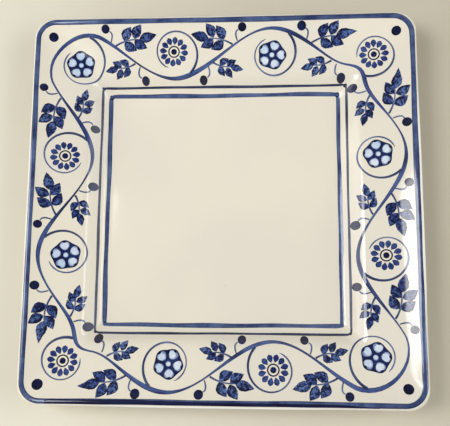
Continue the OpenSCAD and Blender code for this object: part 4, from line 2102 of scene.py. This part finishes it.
@dataclass
class Blossoms:
    """Roses and asters, in turn, one in each bend of the vine. Sizes are shares of a radius."""

    plan: BorderPlan
    paint: Painting
    first_rose: int = 0
    first_aster: int = 1
    rose_petals_n: int = 5
    rose_points: int = 60
    rose_rings: tuple[float, ...] = (0.9, 0.75, 0.6, 0.4, 0.2)
    point_slack: float = 1.0
    scallop: float = 0.06
    petal_points: int = 26
    petal_rings: tuple[float, ...] = (0.7, 0.4)
    petal_half: Point = (0.29, 0.3)
    petal_map_half_w: float = 0.33
    petal_flare: float = 3.0
    petal_out: float = 0.61
    notch_from: float = 0.285
    notch: float = 0.08
    rose_heart: float = 0.17
    aster_petals_n: int = 12
    aster_start: float = 0.46
    aster_petal_w: float = 0.38
    aster_petal_steps: int = 10
    aster_ring: Point = (0.36, 0.09)
    aster_ring_points: int = 36
    aster_heart: float = 0.2

    def spread(
        self, name: str, master: bpy.types.Object, first: int, lift: float = 0.0
    ) -> bpy.types.Object:
        """Copies what was modelled at the origin to every second blossom, and lays it on the glaze.

        Args:
            name: Name of the piece.
            master: What is copied.
            first: Number of the first blossom that takes it.
            lift: How far above the first film, in millimetres.

        Returns:
            The piece.
        """
        plan = self.plan
        chosen = range(first, plan.swings, 2)
        places = [spot(plan.blossom_centre(index), plan.blossom_angle(index)) for index in chosen]
        return self.paint.lay(repeated(name, master, places), lift)

    def rose_grounds(self) -> bpy.types.Object:
        """Brushes in the dark ground of the roses, scalloped by moving its points petal by petal.

        Returns:
            The grounds of all roses.
        """
        r = self.plan.blossom_r
        disc(self.rose_points, r)
        pitch = 360 / self.rose_points
        for step in range(self.rose_points // self.rose_petals_n // 2 + 1):
            apart = pitch * step
            size = 1 - self.scallop * (1 - math.cos(math.radians(self.rose_petals_n * apart)))
            pick(lambda v: abs(self.from_petal(v.co) - apart) < self.point_slack)
            scale(size, size)
        bpy.ops.mesh.select_all(action="SELECT")
        inset_rings(self.rose_rings)
        bpy.ops.mesh.poke()
        ground = map_flat(named("ground"), (0, 0), (r, r))
        return self.spread("rose_ground_washes", ground, self.first_rose)

    def from_petal(self, place: Vector) -> float:
        """Works out how far round a point of a rose lies from the nearest petal's middle.

        Args:
            place: The point.

        Returns:
            The angle, in degrees.
        """
        pitch = 360 / self.rose_petals_n
        angle = math.degrees(math.atan2(place.y, place.x)) % pitch
        return min(angle, pitch - angle)

    def rose_petal(self) -> bpy.types.Object:
        """Models one pale petal.

        Returns:
            The petal, wider towards its tip and notched there.
        """
        r = self.plan.blossom_r
        long, wide = (share * r for share in self.petal_half)
        disc(self.petal_points, 1)
        scale(long, wide)
        self.paint.columns(lambda x: 1 + x / long / self.petal_flare, lambda x: 0.0)
        pick(lambda v: v.co.x > self.notch_from * r * MM)
        shift(x=-self.notch * r)
        bpy.ops.mesh.select_all(action="SELECT")
        shift(x=self.petal_out * r)
        inset_rings(self.petal_rings)
        bpy.ops.mesh.poke()
        return map_flat(named("petal"), (self.petal_out * r, 0), (long, self.petal_map_half_w * r))

    def rose_petals(self) -> bpy.types.Object:
        """Models the pale touches of the roses.

        Returns:
            The petals and the hearts of all roses.
        """
        petal = self.rose_petal()
        pitch = 360 / self.rose_petals_n
        places = [spot((0, 0), pitch * index) for index in range(self.rose_petals_n)]
        petals = repeated("petals", petal, places)
        heart = self.paint.dab(self.rose_heart * self.plan.blossom_r, points=20, rings=1)
        rose = joined("rose", [petals, heart])
        return self.spread("rose_petal_touches", rose, self.first_rose, self.paint.lap_lift)

    def aster_petals(self) -> bpy.types.Object:
        """Models the petals of the asters.

        Returns:
            The wheels of narrow petals of all asters.
        """
        r = self.plan.blossom_r
        length = (1 - self.aster_start) * r
        petal = self.paint.leaf(length, self.aster_petal_w * r, 0, self.aster_petal_steps)
        pitch = 360 / self.aster_petals_n
        turns = [pitch * index for index in range(self.aster_petals_n)]
        places = [spot(moved((0, 0), heading(turn), r), turn + 180) for turn in turns]
        wheel = repeated("wheel", petal, places)
        return self.spread("aster_petal_touches", wheel, self.first_aster)

    def aster_hearts(self) -> bpy.types.Object:
        """Models the hearts of the asters.

        Returns:
            The ringed hearts of all asters.
        """
        r = self.plan.blossom_r
        out, width = (share * r for share in self.aster_ring)
        turns = [heading(360 * step / self.aster_ring_points) for step in range(self.aster_ring_points)]
        ring = self.paint.stroke([(out * x, out * y, width) for x, y in turns], closed=True)
        edit(ring)
        shift(z=-SHEET_Z)
        bpy.ops.object.mode_set(mode="OBJECT")
        heart = joined("hearts", [ring, self.paint.dab(self.aster_heart * r, points=22, rings=1)])
        return self.spread("aster_heart_touches", heart, self.first_aster)


# The studio


@dataclass(frozen=True)
class Lamp:
    """A soft lamp, aimed at the plate.

    Its place and its sides are in metres, and its power is in watts.
    """

    name: str
    place: Triple
    sides: Point
    power: float
    tint: Triple = (1.0, 1.0, 1.0)
    roll: float = 0.0
    aim: Triple = (0.0, 0.0, 0.02)

    def hang(self) -> None:
        """Adds the lamp."""
        deselect()
        bpy.ops.object.light_add(type="AREA", location=self.place)
        lamp = bpy.context.object
        lamp.name = self.name
        aim = (Vector(self.aim) - Vector(self.place)).to_track_quat("-Z", "Y").to_matrix()
        lamp.rotation_euler = (aim @ Matrix.Rotation(math.radians(self.roll), 3, "Z")).to_euler()
        lamp.data.shape = "RECTANGLE"
        lamp.data.size, lamp.data.size_y = self.sides
        lamp.data.energy = self.power
        lamp.data.color = self.tint


@dataclass(frozen=True)
class Studio:
    """Table, lamps and camera, which stand where the photograph puts them.

    Places are in metres and turns in degrees. The table's height is in millimetres.
    """

    table_w: float = 4.0
    table_z: float = -0.05
    camera_at: Triple = (0.0292, -0.0731, 0.4623)
    camera_turn: Triple = (-8.65, -3.44, 0.15)
    clip_start: float = 0.01
    focal_px: float = 650.0
    image_w: int = 450
    sensor_w: float = 36.0
    world: Colour = (1.0, 0.985, 0.95, 1.0)
    world_strength: float = 0.32
    world_shown: float = 0.92
    ceiling: float = 0.75
    world_tilt: Point = (-0.3, -0.9)
    lamps: tuple[Lamp, ...] = (
        Lamp("window_left", (-0.555, 0.05, 1.0), (0.44, 0.39), 5.0, roll=-12),
        Lamp("wall_left", (-0.95, 0.08, 0.55), (0.6, 1.0), 4.0, (0.97, 0.98, 1.0)),
        Lamp("window_right", (0.68, -0.04, 0.8), (0.6, 0.25), 1.9, (0.93, 0.97, 1.0)),
        Lamp("wall_right", (0.95, 0.0, 0.5), (0.9, 0.9), 3.8, (0.95, 0.97, 1.0)),
    )

    def table(self, finish: bpy.types.Material) -> None:
        """Adds the table top.

        Args:
            finish: Its material.
        """
        deselect()
        bpy.ops.mesh.primitive_plane_add(size=self.table_w, location=(0, 0, self.table_z * MM))
        top = named("table_top")
        top.data.materials.append(finish)

    def camera(self) -> None:
        """Adds the camera at the photograph's angle."""
        x, y, z = (math.radians(angle) for angle in self.camera_turn)
        turn = Matrix.Rotation(z, 3, "Z") @ Matrix.Rotation(y, 3, "Y") @ Matrix.Rotation(x, 3, "X")
        deselect()
        bpy.ops.object.camera_add(location=self.camera_at)
        camera = bpy.context.object
        camera.rotation_euler = turn.transposed().to_euler()
        camera.data.sensor_fit = "HORIZONTAL"
        camera.data.sensor_width = self.sensor_w
        camera.data.lens = self.focal_px / self.image_w * self.sensor_w
        camera.data.clip_start = self.clip_start
        bpy.context.scene.camera = camera

    def light(self) -> None:
        """Hangs the lamps and sets the soft light all round."""
        for lamp in self.lamps:
            lamp.hang()
        world = bpy.context.scene.world or bpy.data.worlds.new("room")
        bpy.context.scene.world = world
        world.use_nodes = True
        back = world.node_tree.nodes["Background"]
        back.inputs["Color"].default_value = self.world
        mix = Recipe(world.node_tree)
        way = mix.coordinates.outputs["Generated"]
        inputs = {0: way, 1: (*self.world_tilt, 0.0)}
        tilt = mix.add("ShaderNodeVectorMath", inputs, operation="DOT_PRODUCT").outputs["Value"]
        lit = mix.maths("MULTIPLY_ADD", tilt, self.world_strength, self.world_strength)
        walls = mix.maths("MULTIPLY_ADD", mix.axes(way)[2], -self.ceiling, self.world_shown)
        shown = mix.add("ShaderNodeMix", {0: mix.seen(), 2: lit, 3: walls}, data_type="FLOAT")
        mix.tree.links.new(shown.outputs[0], back.inputs["Strength"])

    def set_up(self) -> None:
        """Builds the whole studio."""
        self.table(PlainFloor().material("table_paint"))
        self.camera()
        self.light()
        bpy.context.scene.view_settings.view_transform = "Standard"


@dataclass(frozen=True)
class Palette:
    """The blues of the painting, as a painter's dish holds them."""

    band: BrushBlue = BrushBlue(
        srgb(84, 102, 142), srgb(38, 52, 98), srgb(12, 20, 62), pool=0.6, accent=0.35
    )
    lap: BrushBlue = BrushBlue(
        srgb(20, 28, 70), srgb(7, 12, 48), srgb(2, 4, 30), pool=0.6, streaks=0.3
    )
    line: BrushBlue = BrushBlue(
        srgb(88, 106, 146), srgb(44, 58, 104), srgb(14, 22, 66), pool=0.6, accent=0.4
    )
    fine: BrushBlue = BrushBlue(
        srgb(52, 64, 100), srgb(20, 28, 66), srgb(6, 10, 40), pool=0.5, accent=0.5
    )
    vine: BrushBlue = BrushBlue(
        srgb(76, 98, 150), srgb(34, 50, 106), srgb(8, 14, 58), pool=0.8, accent=0.8
    )
    scroll: BrushBlue = BrushBlue(
        srgb(112, 132, 174), srgb(56, 72, 124), srgb(10, 18, 66), pool=0.75, load=0.9, accent=0.5
    )
    leaf: BrushBlue = BrushBlue(
        srgb(96, 122, 178), srgb(50, 72, 136), srgb(4, 9, 50), Outline.LEAF, 0.9, 0.1, 0.95
    )
    petal: BrushBlue = BrushBlue(
        srgb(66, 92, 152), srgb(32, 52, 118), srgb(8, 16, 64), Outline.LEAF, 0.7, 0.1, 0.45
    )
    pale: BrushBlue = BrushBlue(
        srgb(226, 233, 238), srgb(190, 208, 230), srgb(60, 90, 154), Outline.DAB, 0.75, 0.0, 0.05
    )
    dark: BrushBlue = BrushBlue(
        srgb(24, 36, 92), srgb(6, 10, 48), srgb(1, 1, 22), Outline.DAB, 0.6, 0.0, 0.4
    )
    ground: BrushBlue = BrushBlue(
        srgb(38, 56, 112), srgb(14, 24, 74), srgb(3, 6, 36), Outline.DAB, 0.6, 0.0, 0.4
    )


def main() -> None:
    """Builds the plate, its painting and the studio, in that order."""
    logging.basicConfig(level=logging.INFO, format="%(name)s: %(message)s")
    form = PlateForm()
    body = PlateBody(form, Kiln())
    glaze = WhiteGlaze()
    face = body.face_glaze()
    hand_over(body.clay(), "clay_body", BareClay().material("bare_clay"))
    hand_over(face, "face_glaze", glaze.material("white_glaze"))
    hand_over(body.base_glaze(), "base_glaze", glaze.material("white_glaze_base"))

    plan = BorderPlan(form)
    paint = Painting(face)
    lines = Lines(plan, paint)
    vine = Vine(plan, paint)
    sprigs = Sprigs(plan, paint)
    blossoms = Blossoms(plan, paint)
    palette = Palette()
    dark = palette.dark.material("dark_blue_dabs")
    line_blue = palette.line.material("line_blue")
    scroll_blue = palette.scroll.material("watery_blue")
    leaf_blue = palette.leaf.material("sponged_blue")
    inner = lines.inner()
    outer = lines.outer()
    hand_over(lines.band(), "rim_band", palette.band.material("band_blue"))
    hand_over(lines.lap(), "band_lap", palette.lap.material("lapped_blue"))
    hand_over(inner, "inner_well_line", line_blue)
    hand_over(outer, "outer_well_line", palette.fine.material("fine_line_blue"))
    hand_over(lines.laps(), "line_laps", dark)
    hand_over(vine.vine(), "vine", palette.vine.material("vine_blue"))
    hand_over(vine.scrolls(), "scrolls", scroll_blue)
    hand_over(vine.tendrils(), "tendrils", scroll_blue)
    hand_over(vine.berries(), "berries", dark)
    hand_over(vine.corner_dots(), "corner_dots", dark)
    hand_over(sprigs.stems(), "sprig_stems", scroll_blue)
    hand_over(sprigs.large_leaves(), "large_leaves", leaf_blue)
    hand_over(sprigs.small_leaves(), "small_leaves", leaf_blue)
    rose_dark = palette.ground.material("rose_dark")
    hand_over(blossoms.rose_grounds(), "rose_grounds", rose_dark)
    hand_over(blossoms.rose_petals(), "rose_petals", palette.pale.material("pale_blue"))
    hand_over(blossoms.aster_petals(), "aster_petals", palette.petal.material("petal_blue"))
    hand_over(blossoms.aster_hearts(), "aster_hearts", dark)
    paint.put_away()

    Studio().set_up()


if __name__ == "__main__":
    main()
